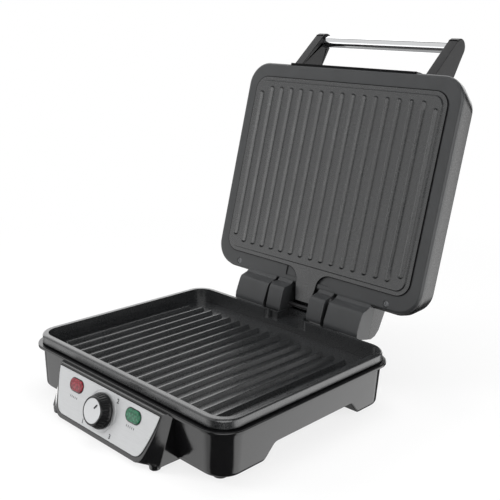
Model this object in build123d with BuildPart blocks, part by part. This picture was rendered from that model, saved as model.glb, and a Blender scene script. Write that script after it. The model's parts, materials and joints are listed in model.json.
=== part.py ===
from build123d import *
import os
from math import atan2, cos, degrees, hypot, radians, sin

# Contact grill with a ribbed lower tray, a hinged upper plate and a control panel.
# Millimetres. X is the width, Y points to the back, Z is up and the table is Z = 0.
# The lid is drawn open, leaning back on its stop.

os.makedirs("parts", exist_ok=True)

# Whole grill
plate_y = -69.6
rim_z = 66.5
lid_lean = 12.87
hinge_behind_tray = 28.0
hinge_over_rim = 2.5
float_travel = 15.0
sheet = 0.8
fit_gap = 0.05
part_gap = 0.4

# Lower tray
tray_width = 300.0
tray_depth = 256.0
hinge_back = tray_depth / 2 + hinge_behind_tray
tray_corner = 24.0
rim_width = 6.5
rim_height = 9.0
rim_round = 2.6
well_depth = 18.0
tray_wall = 3.0
tray_floor = 3.2
rib_count = 17
rib_margin = 20.8
rib_pitch = (tray_width - 2 * rib_margin) / (rib_count - 1)
rib_width = 6.8
rib_draft = 20.0
lower_rib_height = 4.6
rib_run_out = 50.0
lower_rib_length = tray_depth - rib_run_out
lower_rib_back = -7.5
end_rib_cut = 18.0
channel_mouth_half = 28.0
channel_half = 17.0
channel_pocket = 7.4
channel_neck = tray_depth / 2 - rim_width + channel_pocket
channel_depth = 11.0
channel_hinge_gap = 4.0
channel_end = hinge_back - channel_hinge_gap
channel_wall = 2.5
channel_round = 7.0

# Screwed posts that stack tray, heat shield and bottom cover
post_side_inset = 32.0
post_end_inset = 36.0
post_x = tray_width / 2 - post_side_inset
post_y = tray_depth / 2 - post_end_inset
post_radius = 5.5
screw_radius = 2.0
screw_head_radius = 3.9
screw_head_height = 2.4
shield_drop = 11.8

# Base casing
casing_width = tray_width
casing_depth = tray_depth
casing_corner = 26.0
casing_wall = 2.6
casing_draft = 3.0
casing_bottom = 6.0
casing_bottom_round = 5.5
lip_side_overhang = 5.0
lip_end_overhang = 5.5
lip_width = casing_width + 2 * lip_side_overhang
lip_depth = casing_depth + 2 * lip_end_overhang
lip_corner = 30.0
lip_height = 3.0
lip_gap = 1.5
ledge_bottom = 8.5
ledge_top = 11.5
ledge_side_inset = 18.0
ledge_end_inset = 16.0
ledge_width = casing_width - 2 * ledge_side_inset
ledge_depth = casing_depth - 2 * ledge_end_inset
ledge_corner = 34.0
arch_front_inset = 56.0
arch_back_inset = 48.0
arch_front = arch_front_inset - casing_depth / 2
arch_back = casing_depth / 2 - arch_back_inset
arch_slope = 16.0
arch_top = 23.5
arch_round = 9.0
window_half = 60.0
window_bottom = 15.5
window_top = 47.5
hinge_notch_half = 99.0

# Bottom cover and feet
cover_side_inset = 12.0
cover_end_inset = 10.0
cover_width = casing_width - 2 * cover_side_inset
cover_depth = casing_depth - 2 * cover_end_inset
cover_corner = 14.0
cover_thickness = 2.5
foot_side_inset = 23.0
foot_end_inset = 21.0
foot_x = casing_width / 2 - foot_side_inset
foot_y = casing_depth / 2 - foot_end_inset
foot_radius = 7.5
foot_screw_radius = 1.6
foot_head_radius = 2.8
foot_head_height = 1.2
foot_web = 3.2
foot_taper = 5

# Control housing and panel
panel_tilt = 18.5
panel_stand_off = 11.3
panel_top_y = -casing_depth / 2 - panel_stand_off
panel_top_z = 52.0
panel_half = 79.6
panel_height = 45.4
panel_bottom_half = 57.0
panel_thickness = 1.0
border = 2.2
band_height = 5.2
housing_half = 87.5
housing_wall = 3.0
housing_shoulder = 8.0
housing_screw_x = 72.0
housing_pad_x = 78.5
housing_pad_lead = 5.2
housing_pad_y = panel_top_y - housing_pad_lead
housing_pad_radius = 6.0
housing_pad_gap = 1.0
housing_screw_z = 33.5
lens_x = 45.8
lens_drop = 11.2
lens_length = 21.5
lens_height = 12.5
lens_proud = 1.4
lamp_radius = 3.0
lamp_length = 11.0

# Thermostat and knob
knob_drop = 22.0
knob_radius = 18.0
knob_face_radius = 14.2
knob_length = 11.2
knob_skirt = 2.6
knob_hollow_radius = 12.5
knob_hollow_depth = 5.0
knob_clear = 0.8
cap_radius = 12.4
cap_thickness = 0.8
pointer_angle = 36.0
pointer_length = 5.8
pointer_width = 1.8
pointer_inner = 3.8
spindle_radius = 3.0
bushing_radius = 4.5
thermostat_size = 32.0
thermostat_depth = 14.0
thermostat_screw_x = 9.5

# Hinge
pin_radius = 3.5
link_radius = 2.6
rod_end_skin = 0.8
rod_end_gap = 0.4
bush_size = 9.0
cheek_inner = 44.0
cheek_thickness = 3.6
cheek_gap = 0.4
narrow_inner = 21.0
narrow_outer = 43.4
wide_inner = 48.2
wide_outer = 97.0
bracket_pad = 3.0
bracket_front = casing_depth / 2 + bracket_pad

bracket_bottom = 17.5
bracket_top = 51.5
flange_thickness = 3.0
flange_half = 12.0
pad_half = 16.0
bracket_screw_z = (23.5, 40.5)
bracket_screw_x = 8.0

# Lid, measured up from the hinge axis along the lid and forward from its axis plane
lid_overhang = 7.85
lid_width = tray_width + 2 * lid_overhang
lid_low = 25.9
lid_top_reach = 10.3
lid_high = hinge_back + tray_depth / 2 + lid_top_reach
lid_corner = 29.0
frame_front = 1.5
frame_back = -4.0
frame_round = 3.5
seam = 0.9
band_back = -12.0
dome_back = -33.5
band_bottom_inset = -1.8
dome_side_inset = 3.0
dome_top_inset = 11.0
dome_bottom_inset = 3.0
dome_round = 5.0
lid_wall = 2.5
lobe_seam = -7.0
upper_side_inset = 8.5
upper_width = tray_width - 2 * upper_side_inset
upper_low = 46.0
upper_top_inset = 18.3
upper_high = lid_high - upper_top_inset
upper_corner = 17.0
upper_flange = 3.0
upper_gap = 0.8
upper_step = 4.5
upper_field = 5.0
upper_floor = 3.2
upper_rib_height = 4.0
rib_top_round = 1.3
upper_rib_margin = 24.1
upper_rib_length = upper_high - upper_low - upper_rib_margin
upper_rib_shift = 0.4
upper_rib_middle = (upper_low + upper_high) / 2 + upper_rib_shift
upper_end_rib_cut = 14.2
tongue_low = 7.0
tongue_half = 15.0
tongue_tip_half = 11.0
tongue_round = 20.0
seat_width = 4.0
upper_shield_back = -12.0
frame_screw_inset = 41.85
frame_screw_x = lid_width / 2 - frame_screw_inset
frame_screw_u = 33.4

# Heating elements
element_radius = 3.25
element_side_inset = 52.0
element_x = tray_width / 2 - element_side_inset
element_bend = 24.0
element_front_inset = 44.0
element_back_inset = 40.0
upper_element_inset = 32.0
element_gap_half = 26.0
clip_width = 8.0
clip_reach = 12.0
clip_sheet = 1.2
clip_front_margin = 14.0
clip_back_margin = 18.0
upper_clip_margin = 13.0

# Handle
handle_inner = 92.5
handle_width = 13.0
handle_rise = 43.2
handle_reach = lid_high + handle_rise
handle_back = -62.0
handle_radius = 10.5
grip_radius = 7.5
grip_wall = 1.2
grip_socket = 8.0
handle_screw_w = -26.0
arm_depth = 19.0

# Mains entry
inlet_z = 26.0
inlet_bore = 3.6
inlet_radius = 5.5
inlet_flange = 9.0
inlet_tail = 16.0
terminal_x = 42.0
terminal_inset = 29.0

# Places worked out from the sizes above
hinge_y = plate_y + hinge_back
hinge_z = rim_z + hinge_over_rim
lean = radians(lid_lean)
tilt = radians(panel_tilt)
lid_up = (0, sin(lean), cos(lean))
lid_out = (0, -cos(lean), sin(lean))
panel_out = (0, -cos(tilt), sin(tilt))
lip_top = rim_z - rim_height - lip_gap
wall_top = lip_top - lip_height
tray_under = rim_z - well_depth - tray_floor
shield_z = tray_under - shield_drop
well_width = tray_width - 2 * rim_width
well_length = tray_depth - 2 * rim_width
well_corner = tray_corner - rim_width
lid_middle = (lid_low + lid_high) / 2
upper_middle = (upper_low + upper_high) / 2
rib_length_last = lower_rib_length - end_rib_cut
lid_plane = Plane(origin=(0, hinge_y, hinge_z), x_dir=(1, 0, 0), z_dir=lid_out)
panel_plane = Plane(origin=(0, plate_y + panel_top_y, panel_top_z), x_dir=(1, 0, 0), z_dir=panel_out)
knob_origin = panel_plane.from_local_coords(Vector(0, -knob_drop, 0))
knob_plane = Plane(origin=knob_origin, x_dir=(1, 0, 0), z_dir=panel_out)
arch_half = casing_width / 2 - casing_wall - part_gap - (wall_top - casing_bottom) * sin(radians(casing_draft))
wall_lean = (wall_top - housing_screw_z) * sin(radians(casing_draft))
wall_inner = casing_depth / 2 - casing_wall - wall_lean - 0.3
front_plane = Plane(origin=(0, plate_y - wall_inner, 0), x_dir=(1, 0, 0), z_dir=(0, -1, 0))


def level(z):
    """Plane parallel to the table, centred on the plates."""
    return Plane(origin=(0, plate_y, z))


def base_side(x):
    """Upright plane facing +X; its axes are Y from the plates' centre and Z."""
    return Plane(origin=(x, plate_y, 0), x_dir=(0, 1, 0), z_dir=(1, 0, 0))


def lid_side(x):
    """Plane facing +X in the lid's frame; its axes are up the lid and forward."""
    return Plane(origin=(x, hinge_y, hinge_z), x_dir=lid_up, z_dir=(1, 0, 0))


def rear_plane(y):
    """Upright plane facing the back, at y from the plates' centre."""
    return Plane(origin=(0, plate_y + y, 0), x_dir=(-1, 0, 0), z_dir=(0, 1, 0))


def save(solid, name):
    solid.label = name
    export_step(solid, f"parts/{name}.step")


def fascia_outline(grow, drop):
    """Panel outline with curved sides, grown all round and reaching drop below the top."""
    half = panel_half + grow
    foot = panel_bottom_half + grow
    Line((-half, grow), (half, grow))
    Spline((half, grow), (half - 2.8, -0.31 * drop), (half - 9.4, -0.745 * drop), (foot, -drop),
           tangents=((-0.12, -1), (-1, 0)))
    Line((foot, -drop), (-foot, -drop))
    Spline((-foot, -drop), (9.4 - half, -0.745 * drop), (2.8 - half, -0.31 * drop), (-half, grow),
           tangents=((-1, 0), (-0.12, 1)))


def rib_row(plane, middle, length, short, height):
    """Rounded ribs that run across the plane's x axis; the outer two are shorter."""
    with BuildPart(mode=Mode.PRIVATE) as ribs:
        with BuildSketch(plane):
            with Locations((0, middle)):
                with GridLocations(rib_pitch, 0, rib_count - 2, 1):
                    SlotOverall(length, rib_width, rotation=90)
                with GridLocations(rib_pitch * (rib_count - 1), 0, 2, 1):
                    SlotOverall(length - short, rib_width, rotation=90)
        extrude(amount=height, taper=rib_draft)
        crest = ribs.faces().sort_by(Axis(plane.origin, plane.z_dir)).filter_by(
            lambda f: abs(plane.to_local_coords(f.center()).Z - height) < 0.01)
        fillet(crest.edges(), rib_top_round)
    return ribs.part


def heater_path(plane, low, high):
    """Rounded loop, open in the middle of its far side."""
    with BuildLine(plane, mode=Mode.PRIVATE) as path:
        FilletPolyline((-element_gap_half, high), (-element_x, high), (-element_x, low),
                       (element_x, low), (element_x, high), (element_gap_half, high),
                       radius=element_bend)
    return path.line


# Solid envelope of the base casing, used to trim what stands against it
with BuildPart() as casing_block:
    with BuildSketch(level(wall_top)):
        RectangleRounded(casing_width, casing_depth, casing_corner)
    extrude(amount=casing_bottom - wall_top, taper=casing_draft)
    fillet(casing_block.faces().sort_by(Axis.Z)[0].edges(), casing_bottom_round)
    with BuildSketch(level(wall_top)):
        RectangleRounded(lip_width, lip_depth, lip_corner)
    extrude(amount=lip_height)
    with BuildSketch(level(wall_top)):
        with Locations((0, tray_depth / 2 + lip_depth / 2 + 1)):
            Rectangle(2 * hinge_notch_half, lip_depth)
    extrude(amount=lip_height, mode=Mode.SUBTRACT)
    lip_edges = casing_block.faces().sort_by(Axis.Z)[-1].edges()
    fillet(lip_edges.filter_by(lambda e: e.center().Y < plate_y + tray_depth / 2), 1.2)

# Base casing
with BuildPart() as base_casing:
    add(casing_block.part)
    with BuildSketch(level(lip_top)):
        RectangleRounded(casing_width - 2 * casing_wall, casing_depth - 2 * casing_wall, well_corner + tray_wall)
    extrude(amount=-lip_height, mode=Mode.SUBTRACT)
    with BuildSketch(level(wall_top)):
        RectangleRounded(casing_width - 2 * casing_wall, casing_depth - 2 * casing_wall, well_corner + tray_wall)
    extrude(amount=ledge_top - wall_top, taper=casing_draft, mode=Mode.SUBTRACT)
    with BuildSketch(level(ledge_top)):
        RectangleRounded(ledge_width, ledge_depth, ledge_corner)
    extrude(amount=ledge_bottom - ledge_top, mode=Mode.SUBTRACT)
    with BuildSketch(level(ledge_bottom)):
        RectangleRounded(cover_width + 2 * part_gap, cover_depth + 2 * part_gap, cover_corner)
    extrude(amount=casing_bottom - ledge_bottom, mode=Mode.SUBTRACT)
    with BuildSketch(level(ledge_top)):
        with Locations((0, (arch_front + arch_back) / 2)):
            Rectangle(2 * arch_half + 2 * part_gap, arch_back - arch_front + 12)
    extrude(amount=casing_bottom - ledge_top, mode=Mode.SUBTRACT)
    with BuildSketch(base_side(-casing_width)):
        with BuildLine():
            Polyline((arch_front, 0), (arch_front, casing_bottom), (arch_front + arch_slope, arch_top),
                     (arch_back - arch_slope, arch_top), (arch_back, casing_bottom), (arch_back, 0),
                     close=True)
        arch = make_face()
        arch_tops = arch.vertices().filter_by(lambda v: abs(v.Y - arch_top) < 0.01)
        fillet(arch_tops, arch_round)
    extrude(amount=2 * casing_width, mode=Mode.SUBTRACT)
    with BuildSketch(Plane(origin=(0, plate_y - casing_depth / 2 - 1, 0), x_dir=(1, 0, 0), z_dir=(0, -1, 0))):
        with Locations((0, (window_bottom + window_top) / 2)):
            RectangleRounded(2 * window_half, window_top - window_bottom, 4)
    extrude(amount=-2 * casing_wall - 4, mode=Mode.SUBTRACT)
    with BuildSketch(level(lip_top)):
        with Locations((0, casing_depth / 2)):
            Rectangle(2 * (channel_mouth_half + channel_wall + part_gap), 4 * casing_wall + 4)
    extrude(amount=-(channel_depth + channel_wall - rim_height - lip_gap + 0.8), mode=Mode.SUBTRACT)
    with BuildSketch(rear_plane(bracket_front)):
        for side in (-1, 1):
            with Locations((side * (cheek_inner + 2), (bracket_bottom + bracket_top) / 2)):
                Rectangle(2 * pad_half, bracket_top - bracket_bottom)
    extrude(until=Until.NEXT, dir=(0, -1, 0))
    with BuildSketch(rear_plane(bracket_front)):
        with Locations((0, inlet_z)):
            Circle(inlet_radius + part_gap / 2)
        for side in (-1, 1):
            for z in bracket_screw_z:
                with Locations((side * (cheek_inner + 2 + bracket_screw_x), z)):
                    Circle(screw_radius + part_gap / 2)
    extrude(amount=-16, mode=Mode.SUBTRACT)
    with BuildSketch(level(ledge_top)):
        with GridLocations(2 * foot_x, 2 * foot_y, 2, 2):
            Circle(foot_screw_radius)
    extrude(amount=ledge_bottom - ledge_top, mode=Mode.SUBTRACT)
    with BuildSketch(front_plane):
        with Locations((-housing_screw_x, housing_screw_z), (housing_screw_x, housing_screw_z)):
            Circle(screw_radius + part_gap / 2)
    extrude(amount=casing_wall + 4, mode=Mode.SUBTRACT)
save(base_casing.part, "base_casing")

# Bottom cover: two low floors joined over the arch, with four hollow posts
with BuildPart() as bottom_cover:
    with BuildSketch(level(casing_bottom)):
        RectangleRounded(cover_width, cover_depth, cover_corner)
    extrude(amount=cover_thickness)
    with BuildSketch(base_side(-casing_width)):
        with Locations(((arch_front + arch_back) / 2, 0)):
            Rectangle(arch_back - arch_front, 4 * arch_top)
    extrude(amount=2 * casing_width, mode=Mode.SUBTRACT)
    with BuildSketch(base_side(-arch_half)):
        with BuildLine():
            Polyline((arch_front, casing_bottom), (arch_front + arch_slope, arch_top),
                     (arch_back - arch_slope, arch_top), (arch_back, casing_bottom),
                     (arch_back, casing_bottom + cover_thickness),
                     (arch_back - arch_slope + 1, arch_top + cover_thickness),
                     (arch_front + arch_slope - 1, arch_top + cover_thickness),
                     (arch_front, casing_bottom + cover_thickness), close=True)
        make_face()
    extrude(amount=2 * arch_half)
    with BuildSketch(level(casing_bottom + cover_thickness)):
        with GridLocations(2 * post_x, 2 * post_y, 2, 2):
            Circle(post_radius)
    extrude(amount=shield_z - casing_bottom - cover_thickness)
    with BuildSketch(level(casing_bottom)):
        with GridLocations(2 * post_x, 2 * post_y, 2, 2):
            Circle(screw_radius + part_gap / 2)
    extrude(amount=shield_z, mode=Mode.SUBTRACT)
    with BuildSketch(level(casing_bottom)):
        with GridLocations(2 * post_x, 2 * post_y, 2, 2):
            Circle(screw_head_radius + part_gap / 2)
    extrude(amount=2 * cover_thickness, mode=Mode.SUBTRACT)
    with BuildSketch(level(casing_bottom)):
        with GridLocations(2 * foot_x, 2 * foot_y, 2, 2):
            Circle(foot_screw_radius + part_gap / 4)
    extrude(amount=cover_thickness, mode=Mode.SUBTRACT)
save(bottom_cover.part, "bottom_cover")

# Rubber feet with a recess for their screws
with BuildPart() as rubber_feet:
    with BuildSketch(level(casing_bottom)):
        with GridLocations(2 * foot_x, 2 * foot_y, 2, 2):
            Circle(foot_radius)
    extrude(amount=-casing_bottom, taper=foot_taper)
    with BuildSketch(level(casing_bottom)):
        with GridLocations(2 * foot_x, 2 * foot_y, 2, 2):
            Circle(foot_screw_radius + part_gap / 4)
    extrude(amount=-casing_bottom, mode=Mode.SUBTRACT)
    with BuildSketch(level(casing_bottom - foot_web)):
        with GridLocations(2 * foot_x, 2 * foot_y, 2, 2):
            Circle(foot_head_radius + part_gap)
    extrude(amount=-casing_bottom, mode=Mode.SUBTRACT)
save(rubber_feet.part, "rubber_feet")

with BuildPart() as foot_screws:
    with BuildSketch(level(casing_bottom - foot_web)):
        with GridLocations(2 * foot_x, 2 * foot_y, 2, 2):
            Circle(foot_head_radius)
    extrude(amount=-foot_head_height)
    with BuildSketch(level(casing_bottom - foot_web)):
        with GridLocations(2 * foot_x, 2 * foot_y, 2, 2):
            Circle(foot_screw_radius - fit_gap)
    extrude(amount=ledge_top - casing_bottom + foot_web)
save(foot_screws.part, "foot_screws")


def channel_outline(mouth, half, neck, end):
    """Half-widths and rear positions of the drain channel, as a closed outline."""
    start = well_length / 2
    return [(-mouth, start - 2), (-mouth, neck), (-half, neck), (-half, end),
            (half, end), (half, neck), (mouth, neck), (mouth, start - 2)]


# Lower tray: rim, well, drain channel through the rear wall, ribs and bosses
with BuildPart() as lower_plate:
    with BuildSketch(level(rim_z)):
        RectangleRounded(tray_width, tray_depth, tray_corner)
    extrude(amount=-rim_height)
    fillet(lower_plate.faces().sort_by(Axis.Z)[-1].edges(), rim_round)
    with BuildSketch(level(rim_z - rim_height)):
        RectangleRounded(well_width + 2 * tray_wall, well_length + 2 * tray_wall, well_corner + tray_wall)
    extrude(amount=-(well_depth + tray_floor - rim_height))
    with BuildSketch(level(rim_z - channel_depth - channel_wall)):
        with BuildLine():
            Polyline(*channel_outline(channel_mouth_half + channel_wall, channel_half + channel_wall,
                                      channel_neck + channel_wall, channel_end + channel_wall), close=True)
        make_face()
    extrude(amount=channel_depth + channel_wall - rim_round)
    with BuildSketch(level(rim_z + 1)) as mouth:
        RectangleRounded(well_width, well_length, well_corner)
        with BuildLine():
            Polyline(*channel_outline(channel_mouth_half, channel_half, channel_neck, channel_end), close=True)
        make_face()
        mouth_corners = mouth.vertices().filter_by(
            lambda v: abs(abs(v.X) - channel_mouth_half) < 0.01 and abs(v.Y - well_length / 2) < 0.01)
        fillet(mouth_corners, channel_round)
    extrude(amount=-channel_depth - 1, mode=Mode.SUBTRACT)
    with BuildSketch(level(rim_z - channel_depth)):
        RectangleRounded(well_width, well_length, well_corner)
    extrude(amount=channel_depth - well_depth, mode=Mode.SUBTRACT)
    add(rib_row(level(rim_z - well_depth), lower_rib_back, lower_rib_length, end_rib_cut, lower_rib_height))
    with BuildSketch(level(tray_under)):
        with GridLocations(2 * post_x, 2 * post_y, 2, 2):
            Circle(post_radius)
    extrude(amount=-shield_drop + sheet)
    with BuildSketch(level(shield_z)):
        with GridLocations(2 * post_x, 2 * post_y, 2, 2):
            Circle(screw_radius + fit_gap)
    extrude(amount=shield_drop, mode=Mode.SUBTRACT)
save(lower_plate.part, "lower_plate")

# Sheet steel pan under the tray
with BuildPart() as lower_heat_shield:
    with BuildSketch(level(shield_z)):
        RectangleRounded(well_width - 6, well_length - 6, well_corner)
    extrude(amount=shield_drop - 3)
    with BuildSketch(level(shield_z + sheet)):
        RectangleRounded(well_width - 6 - 2 * sheet, well_length - 6 - 2 * sheet, well_corner - sheet)
    extrude(amount=shield_drop, mode=Mode.SUBTRACT)
    with BuildSketch(level(shield_z)):
        with GridLocations(2 * post_x, 2 * post_y, 2, 2):
            Circle(screw_radius + part_gap / 2)
    extrude(amount=sheet, mode=Mode.SUBTRACT)
save(lower_heat_shield.part, "lower_heat_shield")

screw_seat = casing_bottom + 2 * cover_thickness
with BuildPart() as plate_screws:
    with BuildSketch(level(screw_seat)):
        with GridLocations(2 * post_x, 2 * post_y, 2, 2):
            Circle(screw_head_radius)
    extrude(amount=-screw_head_height)
    with BuildSketch(level(screw_seat)):
        with GridLocations(2 * post_x, 2 * post_y, 2, 2):
            Circle(screw_radius)
    extrude(amount=tray_under - screw_seat - 2)
save(plate_screws.part, "plate_screws")

# Lower heating element under the tray, held by saddle clips
element_z = tray_under - element_radius - fit_gap
element_low = element_front_inset - tray_depth / 2
element_high = tray_depth / 2 - element_back_inset
lower_path = heater_path(level(element_z), element_low, element_high)
with BuildPart() as lower_element:
    with BuildSketch(Plane(origin=lower_path @ 0, z_dir=lower_path % 0)):
        Circle(element_radius)
    sweep(path=lower_path)
save(lower_element.part, "lower_element")


def saddle_clips(plane, low, high):
    """Hat-shaped straps against the plane, over the two long runs of a heater."""
    depth = 2 * element_radius + 2 * fit_gap
    spots = [(side * element_x, y) for side in (-1, 1) for y in (low, high)]
    with BuildPart(mode=Mode.PRIVATE) as clips:
        with BuildSketch(plane):
            with Locations(*spots):
                Rectangle(2 * clip_reach, clip_width)
        extrude(amount=clip_sheet)
        with BuildSketch(plane):
            with Locations(*spots):
                Rectangle(2 * (element_radius + clip_sheet + fit_gap), clip_width)
        extrude(amount=depth + clip_sheet)
        with BuildSketch(plane):
            with Locations(*spots):
                Rectangle(2 * (element_radius + fit_gap), clip_width)
        extrude(amount=depth, mode=Mode.SUBTRACT)
    return clips.part


under_plate = Plane(origin=(0, plate_y, tray_under), x_dir=(1, 0, 0), z_dir=(0, 0, -1))
lower_clips = saddle_clips(under_plate, clip_back_margin + element_bend - element_high,
                           -element_low - element_bend - clip_front_margin)
save(lower_clips, "lower_element_clips")

# Control housing: fascia front that widens into a box against the casing
shoulder_plane = panel_plane.offset(-housing_shoulder)
shoulder_top = (wall_top + 2 - shoulder_plane.origin.Z) / cos(tilt)
shoulder_bottom = (casing_bottom - 0.5 - shoulder_plane.origin.Z) / cos(tilt)
with BuildPart() as control_housing:
    with BuildSketch(panel_plane):
        with BuildLine():
            fascia_outline(border, panel_height + band_height)
        make_face()
    with BuildSketch(shoulder_plane):
        with BuildLine():
            Line((-housing_half, shoulder_top), (housing_half, shoulder_top))
            Line((housing_half, shoulder_top), (housing_half, shoulder_bottom))
            Line((housing_half, shoulder_bottom), (-housing_half, shoulder_bottom))
            Line((-housing_half, shoulder_bottom), (-housing_half, shoulder_top))
        make_face()
    loft()
    housing_back = control_housing.faces().sort_by(Axis(panel_plane.origin, panel_out))[0]
    extrude(housing_back, amount=30, dir=(0, 1, 0))
    with BuildSketch(level(casing_bottom + 1)):
        with Locations((-housing_pad_x, housing_pad_y), (housing_pad_x, housing_pad_y)):
            Circle(housing_pad_radius)
    extrude(amount=housing_pad_gap - casing_bottom - 1, taper=6)
    with BuildSketch(panel_plane.offset(-housing_wall)):
        with BuildLine():
            fascia_outline(-housing_wall, panel_height - housing_wall)
        make_face()
    extrude(amount=40, dir=(0, 1, 0), mode=Mode.SUBTRACT)
    with BuildSketch(front_plane):
        with Locations((-housing_screw_x, housing_screw_z), (housing_screw_x, housing_screw_z)):
            Circle(screw_radius + 3)
    extrude(amount=casing_wall + 14)
    add(casing_block.part, mode=Mode.SUBTRACT)
    with BuildSketch(level(0)):
        Rectangle(casing_width, casing_depth - 30)
    extrude(amount=rim_z, mode=Mode.SUBTRACT)
    with BuildSketch(front_plane):
        with Locations((-housing_screw_x, housing_screw_z), (housing_screw_x, housing_screw_z)):
            Circle(screw_radius + fit_gap)
    extrude(amount=casing_wall + 11, mode=Mode.SUBTRACT)
    with BuildSketch(panel_plane):
        with Locations((-lens_x, -lens_drop), (lens_x, -lens_drop)):
            SlotOverall(lens_length + part_gap, lens_height + part_gap)
        with Locations((0, -knob_drop)):
            Circle(bushing_radius + part_gap / 2)
        with Locations((-thermostat_screw_x, -knob_drop), (thermostat_screw_x, -knob_drop)):
            Circle(screw_radius + part_gap / 2)
    extrude(amount=-housing_wall - 3, mode=Mode.SUBTRACT)
save(control_housing.part, "control_housing")

with BuildPart() as control_panel:
    with BuildSketch(panel_plane):
        with BuildLine():
            fascia_outline(0, panel_height)
        make_face()
    extrude(amount=panel_thickness)
    with BuildSketch(panel_plane):
        with Locations((-lens_x, -lens_drop), (lens_x, -lens_drop)):
            SlotOverall(lens_length + part_gap, lens_height + part_gap)
        with Locations((0, -knob_drop)):
            Circle(bushing_radius + part_gap / 2)
        with Locations((-thermostat_screw_x, -knob_drop), (thermostat_screw_x, -knob_drop)):
            Circle(screw_radius + part_gap / 2)
    extrude(amount=panel_thickness, mode=Mode.SUBTRACT)
save(control_panel.part, "control_panel")


def lens(x):
    """Signal lens: a domed obround with a hollow back for its lamp."""
    with BuildPart(mode=Mode.PRIVATE) as shape:
        with BuildSketch(panel_plane.offset(-housing_wall)):
            with Locations((x, -lens_drop)):
                SlotOverall(lens_length, lens_height)
        extrude(amount=housing_wall + panel_thickness + lens_proud)
        front = shape.faces().sort_by(Axis(panel_plane.origin, panel_out))[-1]
        fillet(front.edges(), 1.2)
        with BuildSketch(panel_plane.offset(-housing_wall)):
            with Locations((x, -lens_drop)):
                Circle(lamp_radius + fit_gap)
        extrude(amount=housing_wall, mode=Mode.SUBTRACT)
    return shape.part


power_lens = lens(-lens_x)
save(power_lens, "power_lens")
ready_lens = lens(lens_x)
save(ready_lens, "ready_lens")

with BuildPart() as indicator_lamps:
    with BuildSketch(panel_plane.offset(-fit_gap)):
        with Locations((-lens_x, -lens_drop), (lens_x, -lens_drop)):
            Circle(lamp_radius)
    extrude(amount=-lamp_length)
    fillet(indicator_lamps.edges().filter_by(GeomType.CIRCLE).group_by(Axis.Y)[0], 0.8)
save(indicator_lamps.part, "indicator_lamps")

# Thermostat behind the panel: body with a threaded bushing, and its two screws
with BuildPart() as thermostat_body:
    with BuildSketch(knob_plane.offset(-housing_wall)):
        RectangleRounded(thermostat_size, thermostat_size * 0.8, 2)
    extrude(amount=-thermostat_depth)
    with BuildSketch(knob_plane.offset(-housing_wall)):
        Circle(bushing_radius)
    extrude(amount=housing_wall + panel_thickness)
    with BuildSketch(knob_plane.offset(panel_thickness)):
        Circle(spindle_radius + fit_gap)
    extrude(amount=-thermostat_depth, mode=Mode.SUBTRACT)
    with BuildSketch(knob_plane.offset(-housing_wall)):
        with Locations((-thermostat_screw_x, 0), (thermostat_screw_x, 0)):
            Circle(screw_radius - fit_gap)
    extrude(amount=-6, mode=Mode.SUBTRACT)
save(thermostat_body.part, "thermostat_body")

with BuildPart() as thermostat_screws:
    with BuildSketch(knob_plane.offset(panel_thickness)):
        with Locations((-thermostat_screw_x, 0), (thermostat_screw_x, 0)):
            Circle(screw_radius + 0.9)
    extrude(amount=1.6)
    with BuildSketch(knob_plane.offset(panel_thickness)):
        with Locations((-thermostat_screw_x, 0), (thermostat_screw_x, 0)):
            Circle(screw_radius - 2 * fit_gap)
    extrude(amount=-panel_thickness - housing_wall - 5)
save(thermostat_screws.part, "thermostat_screws")

# Thermostat spindle and knob: these turn together
knob_base = panel_thickness + knob_clear
knob_end = knob_base + knob_length
with BuildPart() as thermostat_spindle:
    with BuildSketch(knob_plane.offset(panel_thickness - thermostat_depth + 1)):
        Circle(spindle_radius)
    extrude(amount=thermostat_depth + knob_length - 5)
save(thermostat_spindle.part, "thermostat_spindle")

knob_side = Plane(origin=knob_origin, x_dir=(1, 0, 0), z_dir=(0, -sin(tilt), -cos(tilt)))
with BuildPart() as knob_body:
    with BuildSketch(knob_side):
        with BuildLine():
            Polyline((0, knob_base), (knob_radius, knob_base), (knob_radius, knob_base + knob_skirt),
                     (knob_face_radius, knob_end), (cap_radius + fit_gap, knob_end),
                     (cap_radius + fit_gap, knob_end - cap_thickness), (0, knob_end - cap_thickness),
                     close=True)
        make_face()
    revolve(axis=Axis(knob_origin, panel_out))
    knob_rims = knob_body.edges().filter_by(GeomType.CIRCLE)
    fillet(knob_rims.sort_by(Axis(knob_origin, panel_out)).filter_by(
        lambda e: abs(e.radius - knob_face_radius) < 0.01), 1.2)
    with BuildSketch(knob_plane.offset(knob_base)):
        Circle(knob_hollow_radius)
        Circle(spindle_radius + 2.5, mode=Mode.SUBTRACT)
    extrude(amount=knob_hollow_depth, mode=Mode.SUBTRACT)
    with BuildSketch(knob_plane.offset(knob_base)):
        Circle(spindle_radius + fit_gap)
    extrude(amount=knob_length - 4, mode=Mode.SUBTRACT)
save(knob_body.part, "knob_body")

with BuildPart() as knob_cap:
    with BuildSketch(knob_plane.offset(knob_end - cap_thickness)):
        Circle(cap_radius)
    extrude(amount=cap_thickness)
save(knob_cap.part, "knob_cap")

with BuildPart() as knob_pointer:
    with BuildSketch(knob_plane.offset(knob_end)):
        with Locations(Location((0, 0, 0), (0, 0, 1), 90 - pointer_angle)):
            with Locations((pointer_inner + pointer_length / 2, 0)):
                SlotOverall(pointer_length, pointer_width)
    extrude(amount=0.3)
save(knob_pointer.part, "knob_pointer")

# Hinge brackets: a flange screwed to the casing and a slotted cheek
slot_low = hinge_z - bush_size / 2 - fit_gap
slot_high = hinge_z + float_travel + bush_size / 2 + fit_gap
cheek_round = bush_size / 2 + 4


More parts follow.
